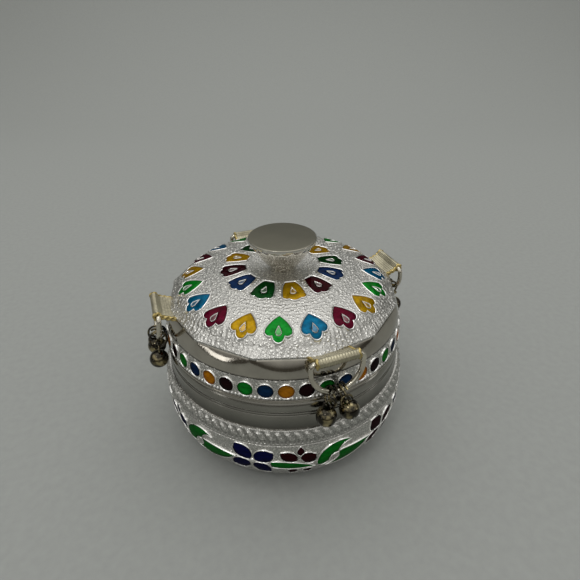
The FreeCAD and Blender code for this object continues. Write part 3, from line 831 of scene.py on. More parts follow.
def add(tree, kind, inputs=None, **settings):
    """A new node with its settings, and its inputs by name: a socket is linked and a value is set."""
    made = tree.nodes.new(kind)
    for key, value in settings.items():
        setattr(made, key, value)
    for key, value in (inputs or {}).items():
        if isinstance(value, bpy.types.NodeSocket):
            tree.links.new(value, made.inputs[key])
        else:
            made.inputs[key].default_value = value
    return made


def object_point(tree, stretch=EVEN):
    """The shaded point in the piece's own coordinates; a share below one stretches a pattern that way."""
    place = add(tree, "ShaderNodeTexCoord").outputs["Object"]
    return add(tree, "ShaderNodeMapping", {"Vector": place, "Scale": stretch}).outputs["Vector"]


def noise(tree, vector, size, detail=3.0):
    """Noise whose lumps are about size millimetres across."""
    inputs = {"Vector": vector, "Scale": 1 / (size * MM), "Detail": detail}
    return add(tree, "ShaderNodeTexNoise", inputs).outputs["Fac"]


def ranged(tree, value, low, high, **inputs):
    """A value between 0 and 1 carried to the range from low to high."""
    inputs = {"Value": value, "To Min": low, "To Max": high, **inputs}
    return add(tree, "ShaderNodeMapRange", inputs).outputs["Result"]


def spread(tree, value, low, high):
    """A noise, most of which lies in the middle of its range, carried to the range from low to high."""
    return ranged(tree, value, low, high, **{"From Min": NOISE_RANGE[0], "From Max": NOISE_RANGE[1]})


def ramp(tree, value, *stops):
    """Colours along a value: pairs of place and colour."""
    made = add(tree, "ShaderNodeValToRGB", {"Fac": value})
    elements = made.color_ramp.elements
    while len(elements) < len(stops):
        elements.new(1.0)
    for element, (place, shade) in zip(elements, stops):
        element.position = place
        element.color = (*shade, 1.0)
    return made.outputs["Color"]


def bump(tree, shader, height, depth, strength=1.0):
    """Lumps of about depth millimetres from a height between 0 and 1."""
    inputs = {"Height": height, "Distance": depth * MM, "Strength": strength}
    tree.links.new(add(tree, "ShaderNodeBump", inputs).outputs["Normal"], shader.inputs["Normal"])


def dimmed(shade, share):
    """A colour with that share of its light."""
    return tuple(channel * share for channel in shade)


def scaled(tree, shade, share):
    """A colour socket with a share of its light that another socket gives."""
    inputs = {0: shade, "Scale": share}
    return add(tree, "ShaderNodeVectorMath", inputs, operation="SCALE").outputs["Vector"]


def darkened(tree, shade, share):
    """A colour that loses up to that share of its light where the mesh is marked as dark."""
    dark = add(tree, "ShaderNodeAttribute", attribute_name="dark").outputs["Fac"]
    return scaled(tree, shade, ranged(tree, dark, 1.0, 1 - share))


def metal(name, shade, rough, lump, depth, stretch, tarnish, swing):
    """Metal with tarnish in patches, varied roughness and lumps of one size, stretched along a grain."""
    material, tree, shader = new_finish(name, 1.0)
    grain = noise(tree, object_point(tree, stretch), lump)
    patch = noise(tree, object_point(tree), TARNISH_PATCH, 4.0)
    wear_and_sheen = ramp(tree, patch, (0.3, dimmed(shade, tarnish)), (0.62, shade))
    # darker where the mesh is marked dark: painted shade in seams and corners, with tarnish in grooves
    tree.links.new(darkened(tree, wear_and_sheen, METAL_SHADE_AND_GRIME), shader.inputs["Base Color"])
    roughness = spread(tree, grain, rough * (1 - swing), rough * (1 + swing))
    tree.links.new(roughness, shader.inputs["Roughness"])
    bump(tree, shader, grain, depth)
    return material


def knob_metal(shade, bright):
    """Turned metal, bright and polished on the cone, satin on the flat top, whose colour is painted darker
    as painted shade.
    """
    material, tree, shader = new_finish("knob_metal", 1.0)
    place = add(tree, "ShaderNodeTexCoord").outputs["Object"]
    height = add(tree, "ShaderNodeSeparateXYZ", {"Vector": place}).outputs["Z"]
    edge = {"From Min": (KNOB_HIGH - KNOB_EDGE) * MM, "From Max": KNOB_HIGH * MM}
    flat = ranged(tree, height, 0.0, 1.0, **edge)
    tree.links.new(ranged(tree, flat, 0.1, 0.34), shader.inputs["Roughness"])
    wear_and_sheen = spread(tree, noise(tree, place, 9.0, 3.0), 0.85, 1.0)
    # the flat top takes the dark top colour, painted shade; the cone keeps the metal's bright colour
    shades = scaled(tree, ramp(tree, flat, (0.0, bright), (1.0, shade)), wear_and_sheen)
    tree.links.new(shades, shader.inputs["Base Color"])
    bump(tree, shader, noise(tree, object_point(tree, (1, 0.05, 1)), 0.3), 0.004)
    return material


def beaten_silver(name, shade, pebble, depth):
    """Bright sheet beaten all over with a pebbled punch: small knobs painted brighter, a painted highlight,
    on a ground painted darker between them, painted shade, its tone also varied by grain.
    """
    material, tree, shader = new_finish(name, 1.0)
    place = object_point(tree)
    inputs = {"Vector": place, "Scale": 1 / (pebble * MM), "Randomness": 1.0}
    away = add(tree, "ShaderNodeTexVoronoi", inputs).outputs["Distance"]
    inputs = {"Value": away, "From Min": 0.12, "From Max": 0.5, "To Min": 1.0, "To Max": 0.0}
    knobs = add(tree, "ShaderNodeMapRange", inputs, interpolation_type="SMOOTHSTEP").outputs["Result"]
    grain = noise(tree, place, 0.4 * pebble, 2.0)
    both = add(tree, "ShaderNodeMath", {0: knobs, 1: grain}, operation="ADD").outputs["Value"]
    # painted highlight on the knobs' tops and painted shade between them, with random grain in the tone
    wear_and_sheen = ramp(tree, both, (0.4, dimmed(shade, 0.55)), (1.0, shade))
    # darker where the mesh is marked dark: painted shade in the vine border's hollows
    tree.links.new(darkened(tree, wear_and_sheen, SHEET_HOLLOW_SHADE), shader.inputs["Base Color"])
    tree.links.new(spread(tree, grain, 0.22, 0.36), shader.inputs["Roughness"])
    bump(tree, shader, both, depth)
    return material


def enamel(name, shade, gloss):
    """Clear enamel over metal: a tinted ground, darker at the edge of its cell, under a gloss coat."""
    material, tree, shader = new_finish(name, 0.7)
    shader.inputs["Specular IOR Level"].default_value = 0.0
    shader.inputs["Specular Tint"].default_value = (*shade, 1.0)
    shader.inputs["Coat Weight"].default_value = gloss
    shader.inputs["Coat Roughness"].default_value = 0.06
    pool = noise(tree, object_point(tree, (0.3, 0.3, 1)), 0.6, 2.0)
    deep = ramp(tree, pool, (0.32, shade), (0.7, dimmed(shade, 0.5)))
    tree.links.new(darkened(tree, deep, ENAMEL_SHADE), shader.inputs["Base Color"])
    tree.links.new(spread(tree, pool, 0.24, 0.4), shader.inputs["Roughness"])
    bump(tree, shader, noise(tree, object_point(tree), 0.5, 2.0), 0.06, 0.6)
    return material


def antique_brass(bright, dark):
    """Old brass: dark patina broken by worn bright patches."""
    material, tree, shader = new_finish("antique_brass", 1.0)
    wear_and_sheen = noise(tree, object_point(tree), 2.4, 4.0)
    tree.links.new(ramp(tree, wear_and_sheen, (0.47, dark), (0.74, bright)), shader.inputs["Base Color"])
    tree.links.new(spread(tree, wear_and_sheen, 0.16, 0.07), shader.inputs["Roughness"])
    bump(tree, shader, noise(tree, object_point(tree), 0.5), 0.012)
    return material


def shade_of(name):
    """One of the colours in the settings."""
    return tuple(getattr(bpy.context.scene.enamel_box_colours, name))


def made_finish(name):
    """Makes a finish by its name: a metal, a beaten sheet, or else a glazed drop or enamel of a colour."""
    if name in METALS:
        shade, *recipe = METALS[name]
        return metal(name, shade_of(shade), *recipe)
    if name in BEATEN:
        return beaten_silver(name, shade_of("silver"), *BEATEN[name])
    if name == "knob_metal":
        return knob_metal(shade_of("knob"), shade_of("cone"))
    if name == "antique_brass":
        return antique_brass(shade_of("brass"), shade_of("patina"))
    kind, _, shade = name.partition("_")
    if kind == "glazed":
        pairs = zip(shade_of("rim"), shade_of(shade))
        mixed = tuple(bare * (1 - GLAZE_ON_DROPS) + glaze * GLAZE_ON_DROPS for bare, glaze in pairs)
        return metal(name, mixed, *GLAZED_DROP)
    return enamel(name, shade_of(shade), ENAMEL_GLOSS.get(shade, USUAL_GLOSS))


def finish(name):
    """The finish of that name, made once from the colours in the settings."""
    if name not in FINISHES:
        FINISHES[name] = made_finish(name)
    return FINISHES[name]


# Pieces
def body_profile():
    """Section of the box: foot ring, belly, plain band, grooves, rolled lip, collar seat and hollow."""
    swell = BELLY_RADIUS - BASE_RADIUS
    below = quarter_bow(BASE_RADIUS, swell, 0, BELLY_HEIGHT)
    heights = np.linspace(BELLY_HEIGHT, VINE_HIGH, BELLY_POINTS)[1:]
    above = stacked(belly_radius(heights), heights)
    bend = FOOT_BORE + FOOT_LIFT
    foot = softened(((0, FOOT_LIFT), (FOOT_BORE, FOOT_LIFT), (bend, 0), (BASE_RADIUS, 0)), EDGE_SOFTNESS)
    lines = [(BAND_FOOT_RADIUS, VINE_HIGH)] + [(radius, SEAM + rise) for radius, rise in LIP_LINES]
    lip = bowed(lines[-1], (LIP_TOP[0], SEAM + LIP_TOP[1]), -LIP_BULGE, LIP_POINTS)
    seat = softened((lip[-1], (MOUTH_RADIUS, SEAM), (COLLAR_RADIUS, SEAM), (COLLAR_RADIUS, COLLAR_LOW),
                     (BAND_FOOT_RADIUS - BODY_WALL, VINE_HIGH)), EDGE_SOFTNESS)
    hollow = quarter_bow(BASE_RADIUS, swell - BODY_WALL, BODY_WALL, BELLY_HEIGHT - BODY_WALL)
    raised = FOOT_LIFT + BODY_WALL
    floor = softened((hollow[0], (bend, BODY_WALL), (FOOT_BORE, raised), (0, raised)), EDGE_SOFTNESS)
    return np.concatenate([foot, below[1:], above, softened(lines, EDGE_SOFTNESS)[1:], lip[1:], seat[1:],
                           (above - (BODY_WALL, 0))[-2::-1], hollow[::-1], floor[1:]])


class BoxBody(bpy.types.Operator):
    """Turn the box's body and the collar in its mouth"""

    bl_idname = "enamel_box.body"
    bl_label = "Body and collar"

    def execute(self, context):
        profile = body_profile()
        outside = profile[:, 0] > COLLAR_RADIUS + EDGE_SOFTNESS
        # painted shade in the seam and under the vine sheet's edge, painted shade with tarnish in the lip's
        # grooves, kept off points at or inside the collar's radius
        dark = shade_and_grime(profile[:, 1] - SEAM, BODY_SHADE_AND_GRIME) * outside
        body = surface("body", turned(profile, BODY_COLUMNS), dark=dark[:, None])
        dress(body, "box", "satin_white_metal", finish("satin_metal"), "body_shell")
        bore = COLLAR_RADIUS - COLLAR_WALL
        start = (bore, COLLAR_HIGH - COLLAR_START)
        ring = softened((start, (bore, COLLAR_HIGH), (COLLAR_RADIUS, COLLAR_HIGH),
                         (COLLAR_RADIUS, COLLAR_LOW), (bore, COLLAR_LOW), start), EDGE_SOFTNESS)
        collar = surface("collar", turned(ring[:-1], COLLAR_COLUMNS), wrap_rows=True)
        dress(collar, "box", "satin_white_metal", finish("satin_metal"), "neck_collar")
        return {"FINISHED"}


def vine_relief(points):
    """Chasing of the vine sheet: stipple, slanted leaves and ticks between lines, and a line at its foot.

    Returns the relief and the share by which each point lies in a hollow of the border, where it is darkened
    as painted shade."""
    depth = VINE_HIGH - points[..., 2]
    angle = np.arctan2(points[..., 1], points[..., 0])
    ridge = setting("ridge")
    leaves = 0.5 + 0.5 * np.cos(GADROONS * angle - GADROON_SLANT * depth)
    border = setting("gadroon") * leaves * zone(depth, *GADROON_ZONE)
    border += ridge * np.cos(TICKS * angle) * zone(depth, *TICK_ZONE)
    line_height = BORDER_LINE_SHARE * ridge
    for line in BORDER_LINES:
        border += line_height * ridge_line(depth, line, BORDER_LINE_WIDTH)
    hollow = zone(depth, *BORDER_ZONE) * (1 - np.clip(border / line_height, 0, 1))
    border += ridge * ridge_line(points[..., 2], VINE_LOW + FOOT_LINE, FOOT_LINE_WIDTH)
    return border + setting("stipple") * random_field(points, *VINE_GRAIN), hollow


class VineBand(bpy.types.Operator):
    """Chase the vine sheet and fill its flowers, leaves and stems with enamel"""

    bl_idname = "enamel_box.vine"
    bl_label = "Vine band"

    def execute(self, context):
        heights = np.linspace(VINE_LOW, VINE_HIGH, WALL_POINTS)
        wall = even(stacked(belly_radius(heights) + VINE_SHEET, heights), VINE_ROWS)
        face = turned(wall, VINE_COLUMNS)
        relief, hollow = vine_relief(face)
        heights = wall[::-VINE_BACK_STEP, 1]
        back = turned(stacked(belly_radius(heights), heights), VINE_COLUMNS)
        # painted shade in the border's hollows, none on the back
        dark = np.concatenate([BORDER_HOLLOW_SHADE * hollow, np.zeros(back.shape[:2])])
        grid = np.concatenate([chased(face, relief), back])
        sheet = surface("vine_ground", grid, wrap_rows=True, dark=dark)
        dress(sheet, "box", "embossed_silver_sheet", finish("stippled_silver"), "vine_sheet")
        self.enamels()
        self.hearts()
        return {"FINISHED"}

    def enamels(self):
        """The enamel of each colour in its cells, and the raised outlines of all the cells."""
        cells = {name: [] for name in VINE_GLAZES}
        for unit, azimuth in enumerate(spaced(VINE_AZIMUTH, VINE_UNITS)):
            self.lay_out(azimuth, "blue" if unit % 2 else "maroon", cells)
        rims = []
        for name, shade in VINE_GLAZES.items():
            outlines, cores, azimuths = (np.array(part) for part in zip(*cells[name]))
            pads, share = glaze_pad(on_belly, azimuths, outlines, cores, setting("glaze_dome"), True)
            pad = surface("vine_glaze_" + name, pads, dark=share ** 4)
            dress(pad, "box", cad_slot("vine_" + name), finish("enamel_" + shade), "vine_" + name)
            rims.append(rim_tube(on_belly, azimuths, outlines, FINE_RIM_SHARE * setting("rim_width"),
                                 setting("rim_height")))
        rim = surface("vine_rims", np.concatenate(rims), wrap_rows=True)
        dress(rim, "box", "embossed_silver_sheet", finish("bright_rim"))

    def lay_out(self, azimuth, flower, cells):
        """Cells of one unit: a flower that a stem crosses, two leaves and an open flower."""
        for petals, turn in ((CROSSED_PETALS, -FLOWER_ANGLE), (OPEN_PETALS, FLOWER_ANGLE)):
            cells[flower] += [(*petal_cell(*row), azimuth + turn) for row in petals]
        for form, turn in ((HEAD_LEAF, 0), (TAIL_LEAF, 0), (STEM, STEM_ANGLE)):
            cells["green"].append((*vine_cell(*form), azimuth + turn))

    def hearts(self):
        """A round boss, a flattened half ball, in the middle of each open flower."""
        azimuths = spaced(VINE_AZIMUTH + FLOWER_ANGLE, VINE_UNITS)
        bosses = half_balls(on_belly, azimuths, 0, FLOWER_HEART, HEART_RIMS * setting("rim_height"),
                            setting("glaze_lift"), HEART_GRID)
        hearts = surface("flower_hearts", bosses)
        dress(hearts, "box", "embossed_silver_sheet", finish("bright_rim"))


def facet_angles():
    """Angles of the points round the lid, the same number of them on each facet."""
    steps = np.arange(FACETS * FACET_COLUMNS)
    return math.radians(FACET_AZIMUTH) + steps * FULL_TURN / FACETS / FACET_COLUMNS


def lid_rows(rows):
    """Rows round the lid from (radius, height, polygon share): a circle, the facets' edges, or between.

    The edges run straight from corner to corner in even steps, and the corners are softened by averaging."""
    angle = facet_angles()
    step = FULL_TURN / FACETS
    corner = np.floor((angle - angle[0]) / step + STEP_GRAIN) * step + angle[0]
    share = (angle - corner) / step
    circle = stacked(np.cos(angle), np.sin(angle))
    first = stacked(np.cos(corner), np.sin(corner))
    last = stacked(np.cos(corner + step), np.sin(corner + step))
    edge = first + share[:, None] * (last - first)
    shifts = range(-CORNER_SPREAD, CORNER_SPREAD + 1)
    edge = sum(np.roll(edge, shift, axis=0) for shift in shifts) / len(shifts)
    rows = np.array(rows, float)
    flat = rows[:, :1, None] * ((1 - rows[:, 2:, None]) * circle + rows[:, 2:, None] * edge)
    return stacked(flat[..., 0], flat[..., 1], rows[:, 1:2])


def blend_rows(start, end, count):
    """Rows between a start and an end row, mixed as points, so that they are straight across a facet."""
    share = np.linspace(0, 1, count)[:, None, None]
    return lid_rows([start]) * (1 - share) + lid_rows([end]) * share


def round_rows(profile):
    """Round rows of the lid along a profile of (radius, height)."""
    profile = np.asarray(profile)
    return lid_rows(stacked(profile[:, 0], profile[:, 1], 0))


FACET_FOOT = (FACET_FOOT_RADIUS, SEAM + BAND_HIGH_RISE, 0)
FACET_TOP = (FACET_TOP_RADIUS, SEAM + FACET_TOP_RISE, 1)
DOME_FOOT = (SHOULDER[0], SEAM + SHOULDER[1], 0)


class LidShell(bpy.types.Operator):
    """Build the lid's shell: rolled rim, band, polished facets, dome and hollow"""

    bl_idname = "enamel_box.lid_shell"
    bl_label = "Lid shell"

    def execute(self, context):
        bead_top = SEAM + 2 * RIM_BEAD
        band_top = SEAM + BAND_HIGH_RISE
        bead = bowed((RIM_BEAD_RADIUS, SEAM), (RIM_BEAD_RADIUS, bead_top), -RIM_BEAD_BULGE, RIM_BEAD_POINTS)
        band = softened((bead[-1], (BAND_LOW_RADIUS, bead_top), (BAND_HIGH_RADIUS, band_top),
                         (FACET_FOOT_RADIUS, band_top + FACET_FOOT_LIFT)), EDGE_SOFTNESS)
        facets = blend_rows(FACET_FOOT, FACET_TOP, FACET_ROWS)
        share = np.linspace(0, 1, FACET_ROWS)[:, None, None]
        facets[..., :2] *= 1 + 4 * FACET_BULGE / FACET_TOP_RADIUS * share * (1 - share)
        skirt = blend_rows(FACET_TOP, DOME_FOOT, SHELL_SKIRT_ROWS)
        inner_facet = FACET_TOP_RADIUS * math.cos(math.pi / FACETS) - FACET_WALLS * LID_WALL
        inside = dome_profile(LID_WALL)
        hollow = np.array([(KNOB_HOLE, DOME[-1, 1]), (KNOB_HOLE, inside[-1, 1]), *inside[::-SHELL_DOME_STEP],
                           (inner_facet, SEAM + FACET_TOP_RISE - LID_WALL),
                           (BAND_HIGH_RADIUS - LID_WALL, band_top), (RIM_SEAT_RADIUS, SEAM)])
        dome = DOME[SHELL_DOME_STEP::SHELL_DOME_STEP]
        grid = np.concatenate([round_rows(bead), round_rows(band[1:]), facets, skirt[1:], round_rows(dome),
                               round_rows(hollow)])
        # painted shade in the seam and in the corners at both ends of the band
        shell = surface("lid_body", grid, wrap_rows=True, dark=shade_and_grime(grid[..., 2] - SEAM, LID_SHADE_AND_GRIME),
                        sharp=FACET_CRISP_ANGLE)
        dress(shell, "lid", "polished_white_metal", finish("polished_metal"), "lid_shell")
        return {"FINISHED"}


def dome_relief(points):
    """Chasing of the dome: stipple, lines round the knob, ribs between inner motifs, zigzags and flutes."""
    radius = np.hypot(points[..., 0], points[..., 1])
    angle = np.arctan2(points[..., 1], points[..., 0])
    ridge = setting("ridge")
    relief = setting("stipple") * random_field(points, *DOME_GRAIN) * zone(radius, *DOME_GRAIN_ZONE)
    relief += TURNED_SHARE * ridge * np.cos(FULL_TURN * radius / TURNED_PITCH) * zone(radius, *TURNED_ZONE)
    count, first = MOTIF_RINGS["inner"][:2]
    step = FULL_TURN / count
    aside = np.abs((angle - math.radians(first) + step / 2) / step % 1 - 0.5) * step
    relief += ridge * zone(aside * radius, *RIB_SIDE_ZONE) * zone(radius, *RIB_ZONE)
    zigzag = np.abs(angle / FULL_TURN * ZIGZAGS % 1 - 0.5)
    waves = np.cos(FULL_TURN * (radius + ZIGZAG_REACH * zigzag) / ZIGZAG_PITCH)
    relief += ZIGZAG_SHARE * ridge * waves * zone(radius, *ZIGZAG_ZONE)
    wander = FLUTE_WANDER * random_field(points, *FLUTE_WANDER_GRAIN)
    depth = FLUTE_MEAN + FLUTE_SWING * random_field(points, *FLUTE_SWING_GRAIN)
    relief += FLUTE_SHARE * ridge * np.cos(FLUTES * angle + wander) * depth * zone(radius, *FLUTE_ZONE)
    return relief


class DomeSheet(bpy.types.Operator):
    """Chase the sheet that covers the dome out to the facets"""

    bl_idname = "enamel_box.dome_sheet"
    bl_label = "Dome sheet"

    def execute(self, context):
        skirt = blend_rows(FACET_TOP, DOME_FOOT, SHEET_SKIRT_ROWS)[:-1]
        face = np.concatenate([skirt, round_rows(even(DOME, DOME_ROWS))]) + (0, 0, DOME_SHEET)
        face = chased(face, dome_relief(face))
        hole = round_rows([(KNOB_HOLE, DOME[-1, 1] + DOME_SHEET), (KNOB_HOLE, DOME[-1, 1])])
        back = round_rows(DOME[::-SHEET_BACK_STEP])
        grid = np.concatenate([face, hole, back, lid_rows([FACET_TOP])])
        sheet = surface("dome_ground", grid, wrap_rows=True)
        dress(sheet, "lid", "embossed_silver_sheet", finish("engraved_silver"), "lid_top_sheet")
        return {"FINISHED"}


class DomeMotifs(bpy.types.Operator):
    """Fill the dome's two rings of motifs with enamel, raise their outlines and set the glazed drops"""

    bl_idname = "enamel_box.motifs"
    bl_label = "Dome motifs"

    def execute(self, context):
        rims, drops = [], []
        for ring, (count, first, radius, motif_length, width, shift) in MOTIF_RINGS.items():
            outline = motif_outline(MOTIF_SHARES[ring], radius, motif_length, width)
            tear = tear_outline(radius + shift, outline)
            centre = np.tile((radius + shift, 0.0), (len(tear), 1))
            azimuths = spaced(first, count)
            glazes = MOTIF_GLAZES[ring]
            dome = setting("glaze_dome")
            for number, (name, shade) in enumerate(glazes.items()):
                some = azimuths[number::len(glazes)]
                pads, share = glaze_pad(on_dome, some, outline[None], tear[None], dome, False)
                pad = surface(f"{ring}_glaze_{name}", pads, wrap_rows=True, dark=np.abs(2 * share - 1) ** 4)
                node = f"{ring}_enamel_{name}"
                dress(pad, "lid", cad_slot(node), finish("enamel_" + shade), node)
                drop, _ = glaze_pad(on_dome, some, tear[None], centre[None], DROP_DOME_SHARE * dome, True)
                drops.append((f"{ring}_drops_{name}", drop, "glazed_" + shade))
            for path, share in ((outline, 1), (tear, FINE_RIM_SHARE)):
                rims += list(rim_tube(on_dome, azimuths, path[None], share * setting("rim_width"),
                                      setting("rim_height")))
        self.silver(rims, drops)
        return {"FINISHED"}

    def silver(self, rims, drops):
        """The raised outlines, one piece for all that have as many points, and the glazed drops in them."""
        for number, size in enumerate(sorted({len(rim) for rim in rims})):
            alike = np.array([rim for rim in rims if len(rim) == size])
            rim = surface(f"motif_rims_{number}", alike, wrap_rows=True)
            dress(rim, "lid", "embossed_silver_sheet", finish("bright_rim"))
        nodes = ("lid_top_sheet_teardrops",)
        for name, points, shade in drops:
            dress(surface(name, points), "lid", "embossed_silver_sheet", finish(shade), *nodes)
            nodes = ()


class DotStrip(bpy.types.Operator):
    """Grain the dotted strip, fill its dots, raise their rims and set the row of beads"""

    bl_idname = "enamel_box.dots"
    bl_label = "Dot strip"

    def execute(self, context):
        rises = np.linspace(STRIP_LOW, STRIP_HIGH, STRIP_ROWS)
        face = turned(stacked(band_radius(rises) + STRIP_THICKNESS, SEAM + rises), STRIP_COLUMNS)
        border = sum(ridge_line(face[..., 2] - SEAM, rise, STRIP_LINE_WIDTH) for rise in STRIP_LINES)
        relief = setting("stipple") * random_field(face, *STRIP_GRAIN) + setting("ridge") * border
        face = chased(face, relief)
        ends = np.array([STRIP_HIGH, STRIP_LOW])
        back = turned(stacked(band_radius(ends), SEAM + ends), STRIP_COLUMNS)
        strip = surface("strip_ground", np.concatenate([face, back]), wrap_rows=True)
        dress(strip, "lid", "embossed_silver_sheet", finish("engraved_silver"), "lid_dot_strip")
        angle = once_round(DOT_POINTS)
        outline = DOT_RADIUS * stacked(np.cos(angle), np.sin(angle))[None]
        azimuths = spaced(DOT_AZIMUTH, DOTS)
        dome = DOT_DOME_SHARE * setting("glaze_dome")
        for number, (name, shade) in enumerate(DOT_GLAZES.items()):
            some = azimuths[number::len(DOT_GLAZES)]
            pads, share = glaze_pad(on_band, some, outline, 0 * outline, dome, True)
            pad = surface("dot_glaze_" + name, pads, dark=share ** 4)
            node = "dot_enamel_" + name
            dress(pad, "lid", cad_slot(node), finish("enamel_" + shade), node)
        rims = rim_tube(on_band, azimuths, outline, FINE_RIM_SHARE * setting("rim_width"),
                        setting("rim_height"))
        rim = surface("dot_rims", rims, wrap_rows=True)
        dress(rim, "lid", "embossed_silver_sheet", finish("bright_rim"))
        self.milgrain(context.scene.enamel_box_sizes.beads)
        return {"FINISHED"}

    def milgrain(self, count):
        """A row of half balls along the strip's lower edge."""
        bead = setting("bead")
        row = half_balls(on_band, spaced(0, count), STRIP_LOW + bead - DOT_RISE, bead, bead,
                         BEAD_SUNK_SHARE * bead, BEAD_GRID)
        dress(surface("milgrain", row), "lid", "embossed_silver_sheet", finish("bright_rim"))


class Knob(bpy.types.Operator):
    """Turn the knob, and the washer and screw that hold it"""

    bl_idname = "enamel_box.knob"
    bl_label = "Knob"

    def execute(self, context):
        rim_low = KNOB_HIGH - KNOB_DISC
        cone = bowed((KNOB_NECK, KNOB_FOOT), (KNOB_RADIUS - KNOB_EDGE, rim_low), KNOB_CONE_BOW, CONE_POINTS)
        disc = softened((cone[-1], (KNOB_RADIUS, rim_low), (KNOB_RADIUS, KNOB_HIGH), (0, KNOB_HIGH)),
                        KNOB_EDGE, DISC_EDGE_POINTS)
        bore_top = KNOB_FOOT + SCREW_HOLE_DEPTH
        bore = ((0, bore_top), (SCREW_HOLE, bore_top), (SCREW_HOLE, KNOB_FOOT))
        knob = surface("knob_turned", turned(np.concatenate([bore, cone, disc[1:]]), KNOB_COLUMNS))
        dress(knob, "lid", "satin_white_metal", finish("knob_metal"), "knob")
        self.fixing()
        return {"FINISHED"}

    def fixing(self):
        """The washer, a flat ring, and the screw, a domed head and a shank, lowered with the knob's foot."""
        edge = cad_box("knob_washer")[1][0]
        low, high = cad_box("knob_washer")[:, 2] - KNOB_LOWERED
        ring = np.array([(KNOB_HOLE, low), (edge, low), (edge, high), (KNOB_HOLE, high)])
        washer = surface("washer", turned(ring, WASHER_COLUMNS), wrap_rows=True)
        dress(washer, "lid", cad_slot("knob_washer"), finish("ring_wire"), "knob_washer")
        width = cad_box("knob_screw")[1][0]
        head, tip = cad_box("knob_screw")[:, 2] - KNOB_LOWERED
        fall = np.linspace(0, QUARTER_TURN, SCREW_CROWN_POINTS)
        crown = stacked(width * np.sin(fall), low - (low - head) * np.cos(fall))
        shank = SCREW_HOLE - SCREW_PLAY
        profile = np.concatenate([crown, [(shank, low), (shank, tip), (0, tip)]])
        screw = surface("screw", turned(profile, SCREW_COLUMNS))
        dress(screw, "lid", cad_slot("knob_screw"), finish("ring_wire"), "knob_screw")


def hung(points, azimuth):
    """A hanger's points, drawn with the ring's bar along Y at the origin, leaned out and set on the lid."""
    return on_bar(rotated(points, "Y", -RING_LEAN), azimuth)


def on_bar(points, azimuth):
    """Points drawn about a bar along Y at the origin, set at the bar's place on the lid."""
    return rotated(points + (BAR_RADIUS, 0, BAR_HEIGHT), "Z", azimuth)


def strung(points, drop, side):
    """Points of one bell's string, lowered below the ring's wire, splayed to its side and set on the bow."""
    sag = RING_SIDE + math.sqrt(RING_BOW ** 2 - SPLIT_OFFSET ** 2)
    return rotated(points - (0, 0, drop), "X", side * SPLAY) + (0, side * SPLIT_OFFSET, -sag)


def tube(path, radius, columns, closed, steady):
    """A round tube along a path: circles in the plane of the path's normal and binormal.

    Both are built from a steady direction. An open path ends in points, so that merging closes it. The
    radius may vary over the grid."""
    if closed:
        tangent = np.roll(path, -1, axis=0) - np.roll(path, 1, axis=0)
    else:
        tangent = np.gradient(path, axis=0)
    tangent /= np.linalg.norm(tangent, axis=1, keepdims=True)
    side = np.cross(tangent, steady)
    side /= np.linalg.norm(side, axis=1, keepdims=True)
    other = np.cross(side, tangent)
    angle = once_round(columns)
    size = np.broadcast_to(radius, (len(path), columns))[..., None]
    ring = size * (side[:, None] * np.cos(angle)[:, None] + other[:, None] * np.sin(angle)[:, None])
    grid = path[:, None] + ring
    if closed:
        return grid
    start, end = (np.repeat(point[:, None], columns, 1) for point in (path[:1], path[-1:]))
    return np.concatenate([start, grid, end])


def ring_path():
    """The wire ring's centre line: straight bar, small corners, short sides and a half-round bow."""
    corner, bend = RING_BOW - RING_CORNER, RING_CORNER * math.sqrt(0.5)
    slope = RING_BOW * math.sqrt(0.5)
    knee, hip = (RING_BOW, -RING_CORNER), (RING_BOW, -RING_SIDE)
    side = np.concatenate([
        np.linspace((0, 0), (corner, 0), RING_BAR_POINTS)[:-1],
        arc_through((corner, 0), (corner + bend, bend - RING_CORNER), knee, RING_CORNER_POINTS)[:-1],
        np.linspace(knee, hip, RING_SIDE_POINTS)[:-1],
        arc_through(hip, (slope, -RING_SIDE - slope), (0, -RING_SIDE - RING_BOW), RING_BOW_POINTS)])
    loop = np.concatenate([side, side[-2:0:-1] * (-1, 1)])
    return stacked(0, loop[:, 0], loop[:, 1])


def split_path():
    """The split ring's wire: two flat turns about Y with a smooth crossing on the outer side."""
    share = np.linspace(*SPLIT_END_SHARES, SPLIT_POINTS)
    low, high = SPLIT_CROSS_SHARES
    slide = np.clip((share - low) / (high - low), 0, 1)
    angle = FULL_TURN * SPLIT_TURNS * share + QUARTER_TURN
    across = SPLIT_PITCH * (slide * slide * (3 - 2 * slide) - 0.5)
    return stacked(SPLIT_RADIUS * np.sin(angle), across, SPLIT_RADIUS * np.cos(angle))


def strap_line():
    """The strap's line across the bar: from the lid out over the bar, round it and back to the lid."""
    root = np.array((STRAP_ROOT[0] - BAR_RADIUS, SEAM + STRAP_ROOT[1] - BAR_HEIGHT))
    back = root / np.linalg.norm(root)
    square = np.array((-back[1], back[0]))
    if square[1] < 0:
        square = -square
    start = math.atan2(square[1], square[0])
    wrap = start - np.linspace(STRAP_FREE_ANGLE, math.pi - STRAP_FREE_ANGLE, STRAP_LOOP_POINTS)
    loop = STRAP_RADIUS * stacked(np.cos(wrap), np.sin(wrap))
    inner, gap = back * STRAP_RADIUS, square * STRAP_GAP
    top = np.linspace(root + gap, inner + gap, STRAP_LAYER_POINTS)
    low = np.linspace(inner - gap, root - gap, STRAP_LAYER_POINTS)
    return even(np.concatenate([top, loop, low]), STRAP_ROWS)


